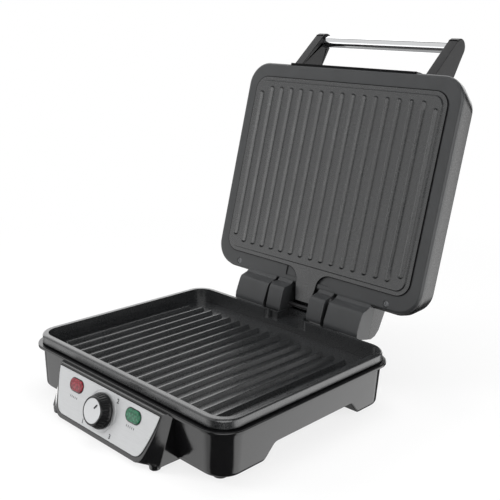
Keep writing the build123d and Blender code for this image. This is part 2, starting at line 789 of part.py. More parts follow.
def hinge_bracket(side):
    """Bracket on one side; side is -1 for left and 1 for right."""
    start = side * cheek_inner if side > 0 else side * (cheek_inner + cheek_thickness)
    middle = side * (cheek_inner + 2)
    with BuildPart(mode=Mode.PRIVATE) as bracket:
        with BuildSketch(rear_plane(bracket_front)):
            with Locations((-middle, (bracket_bottom + bracket_top) / 2)):
                Rectangle(2 * flange_half, bracket_top - bracket_bottom)
        extrude(amount=flange_thickness)
        with BuildSketch(base_side(start)):
            with BuildLine():
                Polyline((bracket_front, bracket_bottom), (bracket_front, bracket_top),
                         (bracket_front + flange_thickness, bracket_top),
                         (hinge_back - cheek_round, hinge_z), (hinge_back - cheek_round, slot_high - 1),
                         (hinge_back - 4, slot_high + 3.5), (hinge_back + 4, slot_high + 3.5),
                         (hinge_back + cheek_round, slot_high - 1), (hinge_back + cheek_round, hinge_z - 20),
                         (bracket_front + 12, bracket_bottom), close=True)
            make_face()
            with Locations((hinge_back, (slot_low + slot_high) / 2)):
                Rectangle(bush_size + 2 * fit_gap, slot_high - slot_low, mode=Mode.SUBTRACT)
        extrude(amount=cheek_thickness)
        with BuildSketch(rear_plane(bracket_front)):
            for z in bracket_screw_z:
                with Locations((-side * (cheek_inner + 2 + bracket_screw_x), z)):
                    Circle(screw_radius + part_gap / 2)
        extrude(amount=flange_thickness, mode=Mode.SUBTRACT)
    return bracket.part


hinge_bracket_left = hinge_bracket(-1)
save(hinge_bracket_left, "hinge_bracket_left")
hinge_bracket_right = hinge_bracket(1)
save(hinge_bracket_right, "hinge_bracket_right")

with BuildPart() as bracket_screws:
    bracket_spots = [(side * (cheek_inner + 2 + bracket_screw_x), z) for side in (-1, 1) for z in bracket_screw_z]
    with BuildSketch(rear_plane(bracket_front + flange_thickness)):
        with Locations(*bracket_spots):
            Circle(screw_radius + 1.4)
    extrude(amount=1.8)
    with BuildSketch(rear_plane(bracket_front + flange_thickness)):
        with Locations(*bracket_spots):
            Circle(screw_radius)
    extrude(amount=-flange_thickness - 7)
save(bracket_screws.part, "bracket_screws")

# Floating rod through both hinge halves and the square bushes that slide in the cheeks
rod_half = wide_outer - rod_end_skin - rod_end_gap
with BuildPart() as hinge_rod:
    with BuildSketch(lid_side(-rod_half)):
        Circle(pin_radius)
    extrude(amount=2 * rod_half)
    with BuildSketch(lid_side(-narrow_inner)):
        Circle(2 * pin_radius)
        Circle(link_radius, mode=Mode.SUBTRACT)
    extrude(amount=2 * narrow_inner, mode=Mode.SUBTRACT)
save(hinge_rod.part, "hinge_rod")

with BuildPart() as slot_bushes:
    for side in (-1, 1):
        with BuildSketch(base_side(side * (cheek_inner + fit_gap))):
            with Locations((hinge_back, hinge_z)):
                Rectangle(bush_size, bush_size)
                Circle(pin_radius + fit_gap / 2, mode=Mode.SUBTRACT)
        extrude(amount=side * (cheek_thickness - 2 * fit_gap))
save(slot_bushes.part, "slot_bushes")

# Housing screws through the casing's front wall into the housing's bosses
with BuildPart() as housing_screws:
    with BuildSketch(front_plane):
        with Locations((-housing_screw_x, housing_screw_z), (housing_screw_x, housing_screw_z)):
            Circle(screw_radius + 1.4)
    extrude(amount=-1.8)
    with BuildSketch(front_plane):
        with Locations((-housing_screw_x, housing_screw_z), (housing_screw_x, housing_screw_z)):
            Circle(screw_radius)
    extrude(amount=casing_wall + 10)
save(housing_screws.part, "housing_screws")

# Mains entry and terminal block
gland_face = casing_depth / 2 - (wall_top - inlet_z - inlet_flange) * sin(radians(casing_draft)) + fit_gap
with BuildPart() as cord_gland:
    with BuildSketch(rear_plane(gland_face)):
        with Locations((0, inlet_z)):
            Circle(inlet_flange)
    extrude(amount=flange_thickness)
    fillet(cord_gland.faces().sort_by(Axis.Y)[-1].edges(), 1.2)
    with BuildSketch(rear_plane(gland_face)):
        with Locations((0, inlet_z)):
            Circle(inlet_radius)
    extrude(amount=-inlet_tail)
    with BuildSketch(rear_plane(gland_face + flange_thickness)):
        with Locations((0, inlet_z)):
            Circle(inlet_bore)
    extrude(amount=-inlet_tail - flange_thickness, mode=Mode.SUBTRACT)
save(cord_gland.part, "cord_gland")

with BuildPart() as terminal_block:
    with BuildSketch(level(casing_bottom + cover_thickness)):
        with Locations((terminal_x, casing_depth / 2 - terminal_inset)):
            Rectangle(32, 15)
    extrude(amount=13)
    with BuildSketch(level(casing_bottom + cover_thickness + 13)):
        with Locations((terminal_x, casing_depth / 2 - terminal_inset)):
            with GridLocations(10, 0, 3, 1):
                Circle(2.6)
    extrude(amount=-8, mode=Mode.SUBTRACT)
save(terminal_block.part, "terminal_block")


# Lid
def lid_level(w):
    """Plane parallel to the lid's mating face, w in front of the hinge axis plane."""
    return lid_plane.offset(w)


def lid_outline(inset, top_inset, bottom_inset, corner):
    """Rounded outline of the lid, drawn in and with its own inset at top and bottom."""
    low = lid_low + bottom_inset
    high = lid_high - top_inset
    with Locations((0, (low + high) / 2)):
        RectangleRounded(lid_width - 2 * inset, high - low, corner)


def lid_shell(inset, front, back):
    """Band and shallow dome of the lid's back, drawn in all round by inset."""
    with BuildPart(mode=Mode.PRIVATE) as shell:
        with BuildSketch(lid_level(front)):
            lid_outline(1.3 + inset, 1.3 + inset, band_bottom_inset + inset, lid_corner - 1.3 - inset)
        extrude(amount=band_back - front)
        with BuildSketch(lid_level(band_back)):
            lid_outline(1.3 + inset, 1.3 + inset, band_bottom_inset + inset, lid_corner - 1.3 - inset)
        with BuildSketch(lid_level(back)):
            lid_outline(dome_side_inset + inset, dome_top_inset + inset, dome_bottom_inset + inset,
                        lid_corner - 2 - inset)
        loft()
    return shell.part


def lobe_block(profile, spans):
    """Bodies with one side profile over several widths across the hinge."""
    with BuildPart(mode=Mode.PRIVATE) as block:
        for start, end in spans:
            with BuildSketch(lid_side(start)):
                with BuildLine():
                    Polyline(*profile, close=True)
                make_face()
            extrude(amount=end - start)
    return block.part


def both_sides(inner, outer):
    return [(-outer, -inner), (inner, outer)]


wide_front = [(-14, lobe_seam), (-14, 13), (-11, 17.5), (-4, 18.4), (14, 15.7), (18, 14), (23.4, 4.3),
              (27, frame_front - 0.2), (36, frame_front - 0.2), (36, frame_back), (24, frame_back),
              (24, lobe_seam)]
narrow_front = [(-14, lobe_seam), (-14, 12), (-10, 17.4), (-6, 18.4), (15, 18), (19, 16), (24, 4.3),
                (28, frame_front - 0.2), (36, frame_front - 0.2), (36, frame_back), (24, frame_back),
                (24, lobe_seam)]
lobe_rear = [(40, dome_back + 1), (24, dome_back + 1), (-3, -26), (-10, -21), (-14, -13)]
lobe_back = [(-14, lobe_seam), (24, lobe_seam), (24, frame_back - seam), (40, frame_back - seam)] + lobe_rear
hinge_cover = lobe_rear + [(-11.5, -12), (-8, -18.6), (-1, -23), (25, dome_back + 4), (40, dome_back + 4)]
upper_length = upper_high - upper_low

with BuildPart() as lid_inner_frame:
    with BuildSketch(lid_level(frame_back)):
        with Locations((0, lid_middle)):
            RectangleRounded(lid_width, lid_high - lid_low, lid_corner)
    extrude(amount=frame_front - frame_back)
    frame_face = lid_inner_frame.faces().sort_by(Axis(lid_plane.origin, lid_out))[-1]
    fillet(frame_face.edges(), frame_round)
    add(lobe_block(wide_front, both_sides(wide_inner, wide_outer)))
    add(lobe_block(narrow_front, both_sides(narrow_inner, narrow_outer)))
    with BuildSketch(lid_level(0)):
        with Locations((0, upper_middle)):
            RectangleRounded(upper_width + 2 * upper_gap, upper_length + 2 * upper_gap, upper_corner + upper_gap)
        with Locations((0, upper_low - 20)):
            Rectangle(2 * (tongue_half + upper_gap), 40 + 2 * upper_gap)
        with Locations((0, upper_low - 6)):
            Rectangle(2 * (tongue_half + tongue_round), 12 + 2 * upper_gap)
    extrude(amount=upper_flange + 2, mode=Mode.SUBTRACT)
    with BuildSketch(lid_level(frame_front)):
        with Locations((0, upper_middle)):
            RectangleRounded(upper_width - 2 * seat_width, upper_length - 2 * seat_width, upper_corner - seat_width)
    extrude(amount=frame_back - frame_front, mode=Mode.SUBTRACT)
    for start, end in both_sides(narrow_outer, wide_inner):
        with BuildSketch(lid_side(start)):
            Rectangle(2 * lid_low, 100)
        extrude(amount=end - start, mode=Mode.SUBTRACT)
    for start, end in both_sides(wide_inner + 23, wide_outer - 3):
        with BuildSketch(lid_side(start)):
            with BuildLine():
                Polyline((-7, lobe_seam), (-7, 14.6), (12.6, 13), (21, lobe_seam), close=True)
            make_face()
        extrude(amount=end - start, mode=Mode.SUBTRACT)
    with BuildSketch(lid_side(-rod_half - rod_end_gap)):
        Circle(pin_radius + fit_gap)
    extrude(amount=2 * (rod_half + rod_end_gap), mode=Mode.SUBTRACT)
    screw_spots = [(-frame_screw_x, frame_screw_u), (frame_screw_x, frame_screw_u)]
    with BuildSketch(lid_level(frame_front)):
        with Locations(*screw_spots):
            Circle(screw_head_radius)
    extrude(amount=-2.1, mode=Mode.SUBTRACT)
    with BuildSketch(lid_level(frame_front)):
        with Locations(*screw_spots):
            Circle(screw_radius)
    extrude(amount=frame_back - frame_front, mode=Mode.SUBTRACT)
save(lid_inner_frame.part, "lid_inner_frame")

handle_screw_u = lid_high - 20
handle_screw_plane = Plane(origin=lid_plane.from_local_coords(Vector(0, handle_screw_u, handle_screw_w)),
                           x_dir=(1, 0, 0), z_dir=lid_up)
handle_spots = [(side * (handle_inner + handle_width / 2), 0) for side in (-1, 1)]
shell_block = lid_shell(0, frame_back - seam, dome_back)
with BuildPart() as lid_outer_casing:
    add(shell_block)
    back_face = lid_outer_casing.faces().sort_by(Axis(lid_plane.origin, lid_out))[0]
    fillet(back_face.edges(), dome_round)
    add(lobe_block(lobe_back, both_sides(wide_inner, wide_outer)))
    add(lobe_block(lobe_back, both_sides(narrow_inner, narrow_outer)))
    add(lobe_block(hinge_cover, [(-narrow_inner - 1, narrow_inner + 1)]))
    add(lid_shell(lid_wall, frame_back - seam, dome_back + lid_wall), mode=Mode.SUBTRACT)
    with BuildSketch(lid_level(frame_back)):
        lid_outline(3.4, 3.4, 3.4, lid_corner - 3.4)
    extrude(amount=-seam - 3)
    with BuildSketch(lid_level(frame_back)):
        lid_outline(5.2, 5.2, 5.2, lid_corner - 5.2)
    extrude(amount=-seam - 3, mode=Mode.SUBTRACT)
    with BuildSketch(lid_level(frame_back)):
        with Locations(*screw_spots):
            Circle(4.2)
    extrude(amount=dome_back + lid_wall - frame_back)
    for start, end in both_sides(narrow_outer, wide_inner):
        with BuildSketch(lid_side(start)):
            Rectangle(2 * lid_low, 100)
        extrude(amount=end - start, mode=Mode.SUBTRACT)
    with BuildSketch(lid_level(frame_back)):
        with Locations(*screw_spots):
            Circle(1.6)
    extrude(amount=-12, mode=Mode.SUBTRACT)
    with BuildSketch(lid_level(handle_screw_w + 6)):
        with Locations(*[(side * (handle_inner + handle_width / 2), handle_screw_u + 4.8) for side in (-1, 1)]):
            Rectangle(11, 9.6)
    extrude(amount=-11)
    with BuildSketch(handle_screw_plane):
        with Locations(*handle_spots):
            Circle(screw_radius + part_gap / 2)
    extrude(amount=24, mode=Mode.SUBTRACT)
save(lid_outer_casing.part, "lid_outer_casing")

# Upper ribbed plate with the tongue that leads fat into the drain channel
shield_w = upper_shield_back
with BuildPart() as upper_plate:
    with BuildSketch(lid_level(0)) as flange_sketch:
        with Locations((0, upper_middle)):
            RectangleRounded(upper_width, upper_length, upper_corner)
        with BuildLine():
            Polyline((-tongue_half, upper_low + 2), (-tongue_half, lid_low + 1), (-tongue_tip_half, tongue_low),
                     (tongue_tip_half, tongue_low), (tongue_half, lid_low + 1), (tongue_half, upper_low + 2),
                     close=True)
        make_face()
        roots = flange_sketch.vertices().filter_by(
            lambda v: abs(abs(v.X) - tongue_half) < 0.01 and abs(v.Y - upper_low) < 0.01)
        fillet(roots, tongue_round * 0.9)
    extrude(amount=upper_flange)
    with BuildSketch(lid_level(upper_flange)):
        with Locations((0, upper_middle)):
            RectangleRounded(upper_width - 2 * upper_step, upper_length - 2 * upper_step, upper_corner - upper_step)
    extrude(amount=upper_field - upper_flange, taper=30)
    add(rib_row(lid_level(upper_field), upper_rib_middle, upper_rib_length, upper_end_rib_cut, upper_rib_height))
    boss_spots = [(x, upper_middle + y) for x in (-post_x, post_x) for y in (-post_y, post_y)]
    with BuildSketch(lid_level(0)):
        with Locations(*boss_spots):
            Circle(post_radius)
    extrude(amount=shield_w + sheet)
    with BuildSketch(lid_level(shield_w)):
        with Locations(*boss_spots):
            Circle(screw_radius + fit_gap)
    extrude(amount=-shield_w, mode=Mode.SUBTRACT)
save(upper_plate.part, "upper_plate")

# Sheet pan behind the plate: it clamps the frame's seat when its screws are tight
pan_width = upper_width - 2 * seat_width + 6
pan_length = upper_length - 2 * seat_width + 6
pan_corner = upper_corner - seat_width + 3
with BuildPart() as upper_heat_shield:
    with BuildSketch(lid_level(shield_w)):
        with Locations((0, upper_middle)):
            RectangleRounded(pan_width, pan_length, pan_corner)
    extrude(amount=frame_back - shield_w)
    with BuildSketch(lid_level(shield_w + sheet)):
        with Locations((0, upper_middle)):
            RectangleRounded(pan_width - 2 * sheet, pan_length - 2 * sheet, pan_corner - sheet)
    extrude(amount=-shield_w, mode=Mode.SUBTRACT)
    with BuildSketch(lid_level(shield_w)):
        with Locations(*boss_spots):
            Circle(screw_radius + part_gap / 2)
    extrude(amount=sheet, mode=Mode.SUBTRACT)
save(upper_heat_shield.part, "upper_heat_shield")

with BuildPart() as upper_plate_screws:
    with BuildSketch(lid_level(shield_w)):
        with Locations(*boss_spots):
            Circle(screw_head_radius)
    extrude(amount=-screw_head_height)
    with BuildSketch(lid_level(shield_w)):
        with Locations(*boss_spots):
            Circle(screw_radius)
    extrude(amount=-shield_w - 2)
save(upper_plate_screws.part, "upper_plate_screws")

upper_path = heater_path(lid_level(-element_radius - fit_gap), upper_low + upper_element_inset,
                         upper_high - upper_element_inset)
with BuildPart() as upper_element:
    with BuildSketch(Plane(origin=upper_path @ 0, z_dir=upper_path % 0)):
        Circle(element_radius)
    sweep(path=upper_path)
save(upper_element.part, "upper_element")

behind_plate = Plane(origin=lid_plane.from_local_coords(Vector(0, upper_middle, 0)), x_dir=(1, 0, 0),
                     z_dir=(0, cos(lean), -sin(lean)))
upper_clip_y = upper_length / 2 - upper_element_inset - element_bend - upper_clip_margin
upper_clips = saddle_clips(behind_plate, -upper_clip_y, upper_clip_y)
save(upper_clips, "upper_element_clips")

with BuildPart() as frame_screws:
    with BuildSketch(lid_level(frame_front - 2.1)):
        with Locations(*screw_spots):
            Circle(screw_head_radius - 0.1)
    extrude(amount=1.8)
    with BuildSketch(lid_level(frame_front - 2.1)):
        with Locations(*screw_spots):
            Circle(1.6)
    extrude(amount=-13)
save(frame_screws.part, "frame_screws")

# Handle: two arms, a tube between them and a strip along the lid's top edge
handle_plane_x = handle_inner + handle_width


arm_root = lid_high - arm_depth


def handle_arm(side):
    """Arm on one side; side is -1 for left and 1 for right."""
    start = handle_inner if side > 0 else -handle_plane_x
    with BuildPart(mode=Mode.PRIVATE) as arm:
        with BuildSketch(lid_side(start)):
            with BuildLine():
                Polyline((arm_root, frame_back - seam - 1), (lid_high + 1, -18), (handle_reach + 6.5, handle_back + 9),
                         (handle_reach - 4.5, handle_back - 9.5), (lid_high + 3, dome_back - 26),
                         (lid_high - 6, dome_back - 22), (arm_root, dome_back + 1), close=True)
            make_face()
            with Locations((handle_reach, handle_back)):
                Circle(handle_radius)
        extrude(amount=handle_width)
        add(shell_block, mode=Mode.SUBTRACT)
        with BuildSketch(lid_side(side * handle_inner)):
            with Locations((handle_reach, handle_back)):
                Circle(grip_radius + fit_gap)
        extrude(amount=side * grip_socket, mode=Mode.SUBTRACT)
        with BuildSketch(handle_screw_plane):
            with Locations((side * (handle_inner + handle_width / 2), 0)):
                Circle(screw_radius + fit_gap)
        extrude(amount=24, mode=Mode.SUBTRACT)
    return arm.part


handle_arm_left = handle_arm(-1)
save(handle_arm_left, "handle_arm_left")
handle_arm_right = handle_arm(1)
save(handle_arm_right, "handle_arm_right")

with BuildPart() as handle_screws:
    with BuildSketch(handle_screw_plane):
        with Locations(*handle_spots):
            Circle(screw_head_radius)
    extrude(amount=-screw_head_height)
    with BuildSketch(handle_screw_plane):
        with Locations(*handle_spots):
            Circle(screw_radius)
    extrude(amount=23)
save(handle_screws.part, "handle_screws")

grip_half = handle_inner + grip_socket - fit_gap
with BuildPart() as handle_tube:
    with BuildSketch(lid_side(-grip_half)):
        with Locations((handle_reach, handle_back)):
            Circle(grip_radius)
            Circle(grip_radius - grip_wall, mode=Mode.SUBTRACT)
    extrude(amount=2 * grip_half)
save(handle_tube.part, "handle_tube")

strip_half = handle_inner - part_gap
with BuildPart() as handle_strip:
    with BuildSketch(lid_side(-strip_half)):
        with BuildLine():
            Polyline((lid_high - 4, frame_back - seam - 1), (lid_high + 2.2, frame_back - seam - 1),
                     (lid_high + 2.2, band_back - 3), (lid_high - 4, band_back - 6), close=True)
        strip = make_face()
        fillet(strip.vertices().sort_by(Axis.Z)[-2:], 1.5)
    extrude(amount=2 * strip_half)
    add(shell_block, mode=Mode.SUBTRACT)
save(handle_strip.part, "handle_strip")
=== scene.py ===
"""Contact grill: ribbed non-stick plates, gloss black casing and a silver control panel.

Lengths are in metres, X across the width, Y to the back and Z up. Only the ring paths
and the panel's marks are written in millimetres.
"""

import json
import math

import bpy
from mathutils import Matrix, Vector

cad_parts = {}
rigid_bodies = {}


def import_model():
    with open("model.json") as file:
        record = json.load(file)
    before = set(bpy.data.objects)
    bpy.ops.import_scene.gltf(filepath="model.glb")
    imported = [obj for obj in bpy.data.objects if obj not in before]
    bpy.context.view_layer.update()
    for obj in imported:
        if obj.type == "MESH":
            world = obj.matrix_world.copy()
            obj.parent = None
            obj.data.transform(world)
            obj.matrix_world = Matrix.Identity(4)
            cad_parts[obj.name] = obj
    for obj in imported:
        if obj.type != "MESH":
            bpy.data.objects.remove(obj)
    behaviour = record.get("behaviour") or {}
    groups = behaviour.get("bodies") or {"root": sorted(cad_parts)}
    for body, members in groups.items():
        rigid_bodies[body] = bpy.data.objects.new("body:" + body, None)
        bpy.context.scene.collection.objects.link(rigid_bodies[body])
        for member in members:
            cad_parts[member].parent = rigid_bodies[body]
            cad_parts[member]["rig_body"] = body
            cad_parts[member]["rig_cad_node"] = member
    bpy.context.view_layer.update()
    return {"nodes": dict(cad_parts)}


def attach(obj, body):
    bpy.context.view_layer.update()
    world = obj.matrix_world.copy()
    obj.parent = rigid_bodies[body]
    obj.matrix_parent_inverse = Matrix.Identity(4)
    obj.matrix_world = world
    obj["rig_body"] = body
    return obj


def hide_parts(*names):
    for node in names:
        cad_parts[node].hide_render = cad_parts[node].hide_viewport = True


bl_info = {
    "name": "Contact Grill",
    "version": (1, 0, 0),
    "blender": (4, 5, 0),
    "location": "View3D > Sidebar > Contact Grill",
    "description": "Finishes a contact grill round its packed frame, piece by piece",
    "category": "Object",
}

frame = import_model()

MM = 0.001

# Lid and hinge
LID_LEAN = math.radians(12.87)
PLATE_Y = -69.6 * MM
RIM_Z = 66.5 * MM
HINGE = Vector((0, PLATE_Y + 156.0 * MM, RIM_Z + 2.5 * MM))
LOBE_TOP = 3.5 * MM
STRIP_SEAT = 292.2 * MM
STRIP_BACK = -6.2 * MM
FRAME_SCREW = Vector((116.0 * MM, 33.4 * MM, -0.6 * MM))

# Ribs of both plates: their spacing, and where their tops lie
RIB_PITCH = 16.15 * MM
RIBS_EACH_SIDE = 8
RIB_REACH = 4 * MM
LID_RIB_TOP = 7.6 * MM
TRAY_RIB_LOW = 51.6 * MM
TRAY_RIB_HIGH = 53.3 * MM
TRAY_RIB_HALF = 114 * MM

# Painted shadows of the gaps round the upper plate and the control panel, drawn as dark bands, in
# height over their seats
PLATE_SHADOW_LOW = 1.45 * MM
PLATE_SHADOW_HIGH = 2.75 * MM
PANEL_SHADOW_LOW = 0.05 * MM
PANEL_SHADOW_HIGH = 0.28 * MM
PANEL_SHADOW_WIDTH = 0.7 * MM

# Control panel, measured from the middle of its top edge
PANEL_TILT = math.radians(18.5)
PANEL_TOP = Vector((0, PLATE_Y - 139.3 * MM, 52.0 * MM))
PANEL_FACE = 1.0 * MM
KNOB_DROP = 22.0 * MM
POINTER_TURN = math.radians(54)
LENS_X = 45.8 * MM
LENS_DROP = 11.2 * MM
LENS_STRETCH = 9 * MM
DIAL_RADIUS = 21 * MM

# In millimetres: the height of the knob's face, and the marks on the panel
KNOB_FACE = 13.0
NUMBERS = (("1", -23.6, -41.0), ("2", 20.2, -5.6), ("3", 20.4, -41.0))
TICK_ROWS = ((-46.5, -23.7), (45.2, -22.4))
TICK_STEP = 2.7

# Camera, solved from the parallel edges of the photograph
CAMERA_ANGLES = (43.22, 15.35, -1.94)
CAMERA_LENS = 58.08
CAMERA_SPOT = Vector((595.9 * MM, -576.2 * MM + PLATE_Y, 331.5 * MM + RIM_Z))

# Sharp edges on a mesh of the frame, and the angle that parts its smooth faces
EDGE_ANGLE = 33
SMOOTH_ANGLE = 32


# Places


def basis(origin, right, out):
    """Matrix whose X runs to the right, Z runs outwards and Y follows from them."""
    right = Vector(right).normalized()
    out = Vector(out).normalized()
    up = out.cross(right)
    rotation = Matrix((right, up, out)).transposed().to_4x4()
    return Matrix.Translation(origin) @ rotation


def shifted(x, y, z):
    return Matrix.Translation((x, y, z))


LID = basis(HINGE, (1, 0, 0), (0, -math.cos(LID_LEAN), math.sin(LID_LEAN)))
PANEL = basis(PANEL_TOP, (1, 0, 0), (0, -math.cos(PANEL_TILT), math.sin(PANEL_TILT)))
KNOB = PANEL @ shifted(0, -KNOB_DROP, 0)
FROM_LID = LID.inverted()


# Sizes and colours that a user would change


def length(name, description, default):
    return bpy.props.FloatProperty(name=name, description=description, default=default,
                                   unit="LENGTH", subtype="DISTANCE", precision=4)


def colour(name, description, default):
    return bpy.props.StringProperty(name=name, description=description, default=default)


class GrillSizes(bpy.types.PropertyGroup):
    moulding_edge: length("Moulding edge", "Radius left on the moulded parts' edges", 0.5 * MM)
    coating_grain: length("Coating grain", "Width of a grain of the coating", 1.0 * MM)
    rib_top: bpy.props.FloatProperty(
        name="Rib top", description="Width of a rib's top, as a share of its foot",
        default=0.6, min=0.3, max=1.0, subtype="FACTOR")
    # Width of the dark band of painted shadow in the gap round the upper plate
    plate_shadow_width: length("Plate shadow width", "Thickness of the seal round the upper plate", 0.9 * MM)
    strip_reach: length("Strip reach", "How far the strip covers the lid's top edge", 7.0 * MM)
    flute_depth: length("Flute depth", "Depth of the knob's grip flutes", 0.7 * MM)
    flutes: bpy.props.IntProperty(
        name="Flutes", description="Grip flutes round the knob", default=30, min=6)
    number_size: length("Number size", "Height of the numbers' type", 6.4 * MM)
    tick_length: length("Tick length", "Length of a mark on the control panel", 2.2 * MM)


class GrillColours(bpy.types.PropertyGroup):
    coating: colour("Non-stick coating", "Dark grey of the cooking plates", "#202122")
    gloss_black: colour("Gloss black", "Casing and housing", "#101011")
    frame_grey: colour("Frame grey", "Satin frame of the lid", "#313233")
    satin_black: colour("Satin black", "Handle arms and bottom cover", "#131314")
    knob_black: colour("Knob black", "Fluted body of the knob", "#0E0E0F")
    # Colour of the handle's strip and of the painted gap shadows round the upper plate and the
    # panel
    strip_and_gap_shadow_black: colour("Strip black", "Seal, edging and the strip under the handle", "#070708")
    panel_silver: colour("Panel silver", "Control panel", "#B8B9BA")
    cap_silver: colour("Cap silver", "Disc on the knob", "#BFC0C1")
    power_red: colour("Power lens", "Red signal lens", "#8E2230")
    ready_green: colour("Ready lens", "Green signal lens", "#1F6B4B")
    print_grey: colour("Print", "Ticks and numbers on the panel", "#1E1F20")
    floor: colour("Floor", "Pale studio floor", "#F2F2F2")


def sizes():
    return bpy.context.scene.grill_sizes


def colours():
    return bpy.context.scene.grill_colours


def linear(hex_colour):
    """Linear RGBA of an sRGB hex colour."""
    channels = [int(hex_colour[i:i + 2], 16) / 255 for i in (1, 3, 5)]
    return (*[c / 12.92 if c <= 0.04045 else ((c + 0.055) / 1.055) ** 2.4
              for c in channels], 1.0)


# Materials


def add_node(tree, kind, settings=None, links=None):
    """Add a node, set its sockets or properties by name, and link sockets to it."""
    node = tree.nodes.new(kind)
    for key, value in (settings or {}).items():
        if isinstance(key, str) and hasattr(node, key):
            setattr(node, key, value)
        else:
            node.inputs[key].default_value = value
    for key, source in (links or {}).items():
        tree.links.new(source, node.inputs[key])
    return node


def new_material(name, **settings):
    """Material with one Principled shader, its settings by socket name."""
    made = bpy.data.materials.new(name)
    made.use_nodes = True
    tree = made.node_tree
    tree.nodes.clear()
    output = add_node(tree, "ShaderNodeOutputMaterial")
    shader = add_node(tree, "ShaderNodeBsdfPrincipled", settings)
    tree.links.new(shader.outputs["BSDF"], output.inputs["Surface"])
    place = add_node(tree, "ShaderNodeTexCoord").outputs["Object"]
    return made, tree, shader, place


def noise(tree, place, width, detail=2.0, roughness=0.5):
    """Noise whose features are about width across."""
    return add_node(tree, "ShaderNodeTexNoise",
                    {"Scale": 1 / width, "Detail": detail, "Roughness": roughness},
                    {"Vector": place}).outputs["Fac"]


def spread(tree, source, low, high, start=0.35, end=0.65):
    """A pattern's values between start and end, mapped to low and high."""
    return add_node(tree, "ShaderNodeMapRange",
                    {"From Min": start, "From Max": end, "To Min": low, "To Max": high},
                    {"Value": source}).outputs["Result"]


def tint(tree, source, dark, light):
    """Colour between two linear colours by a pattern."""
    mix = add_node(tree, "ShaderNodeMix", {"data_type": "RGBA"}, {"Factor": source})
    mix.inputs[6].default_value = dark
    mix.inputs[7].default_value = light
    return mix.outputs[2]


def bump(tree, shader, height, strength, distance):
    node = add_node(tree, "ShaderNodeBump", {"Strength": strength, "Distance": distance},
                    {"Height": height})
    tree.links.new(node.outputs["Normal"], shader.inputs["Normal"])


def shade(hex_colour, factor):
    """Linear colour, lightened or darkened by factor."""
    red, green, blue, alpha = linear(hex_colour)
    return (red * factor, green * factor, blue * factor, alpha)


def non_stick_coating():
    """Sprayed PTFE on cast aluminium: a low sheen, broken by a fine grain of brighter specks.

    The real grain is finer, and is drawn this coarse so that it shows.
    """
    made, tree, shader, place = new_material("PTFE_coated_cast_aluminium", **{"IOR": 1.8})
    grain = noise(tree, place, sizes().coating_grain, 3.0, 0.6)
    speck = noise(tree, place, sizes().coating_grain * 0.35, 2.0, 0.5)
    cloud = noise(tree, place, 30 * MM, 2.0)
    hue = colours().coating
    flecked = tint(tree, spread(tree, speck, 0, 1, 0.58, 0.72), shade(hue, 0.85), shade(hue, 2.6))
    tree.links.new(flecked, shader.inputs["Base Color"])
    rough = add_node(tree, "ShaderNodeMath", {"operation": "ADD"},
                     {0: spread(tree, grain, 0.22, 0.36), 1: spread(tree, cloud, -0.03, 0.04)})
    tree.links.new(rough.outputs["Value"], shader.inputs["Roughness"])
    bump(tree, shader, grain, 0.2, 0.1 * MM)
    return made


def gloss_plastic(name, hex_colour, roughness=0.12):
    """High-gloss moulding: a clean reflection, faintly rippled by the tool."""
    made, tree, shader, place = new_material(
        name, **{"Base Color": linear(hex_colour), "IOR": 1.52})
    ripple = noise(tree, place, 14 * MM, 1.0)
    dust = noise(tree, place, 2.2 * MM, 3.0)
    tree.links.new(spread(tree, dust, roughness * 0.85, roughness * 1.25),
                   shader.inputs["Roughness"])
    bump(tree, shader, ripple, 0.04, 0.3 * MM)
    return made


def satin_plastic(name, hex_colour, roughness=0.38, grain=0.7 * MM, ior=1.5):
    """Spark-eroded satin moulding: an even fine grain that breaks up the highlights.

    The real grain is about 0.1 mm, and is drawn coarser so that it shows. A lower index
    leaves less sheen at a glancing angle, so the black stays deep.
    """
    made, tree, shader, place = new_material(name, **{"IOR": ior})
    spark = noise(tree, place, grain, 2.0, 0.6)
    cloud = noise(tree, place, 25 * MM)
    tree.links.new(
        tint(tree, spread(tree, cloud, 0, 1), shade(hex_colour, 0.92), shade(hex_colour, 1.08)),
        shader.inputs["Base Color"])
    tree.links.new(spread(tree, spark, roughness * 0.85, roughness * 1.15),
                   shader.inputs["Roughness"])
    bump(tree, shader, spark, 0.12, 0.06 * MM)
    return made


def metal(name, hex_colour, roughness, stretch=(1, 1, 1), grain=0.5 * MM, depth=0.03):
    """Bare or plated metal: its polish or brushing shows as fine lines along one way.

    The real lines are hair-fine, and are drawn coarser so that they show.
    """
    made, tree, shader, place = new_material(
        name, **{"Metallic": 1.0, "Base Color": linear(hex_colour)})
    mapped = add_node(tree, "ShaderNodeMapping", {"Scale": stretch}, {"Vector": place})
    lines = noise(tree, mapped.outputs["Vector"], grain, 4.0, 0.7)
    tree.links.new(spread(tree, lines, roughness * 0.8, roughness * 1.25),
                   shader.inputs["Roughness"])
    bump(tree, shader, lines, depth, 0.05 * MM)
    return made


def satin_panel():
    """Aluminium sheet, fine brushed and clear lacquered: pale, even and slightly streaked.

    The brush marks are drawn coarser than the real ones so that they show.
    """
    made, tree, shader, place = new_material("brushed_lacquered_aluminium", **{
        "Metallic": 0.35, "Coat Weight": 0.15, "Coat Roughness": 0.2})
    hue = colours().panel_silver
    mapped = add_node(tree, "ShaderNodeMapping", {"Scale": (0.03, 1, 1)}, {"Vector": place})
    lines = noise(tree, mapped.outputs["Vector"], 0.5 * MM, 4.0, 0.7)
    tree.links.new(tint(tree, spread(tree, lines, 0, 1), shade(hue, 0.94), shade(hue, 1.05)),
                   shader.inputs["Base Color"])
    tree.links.new(spread(tree, lines, 0.34, 0.46), shader.inputs["Roughness"])
    bump(tree, shader, lines, 0.04, 0.05 * MM)
    return made


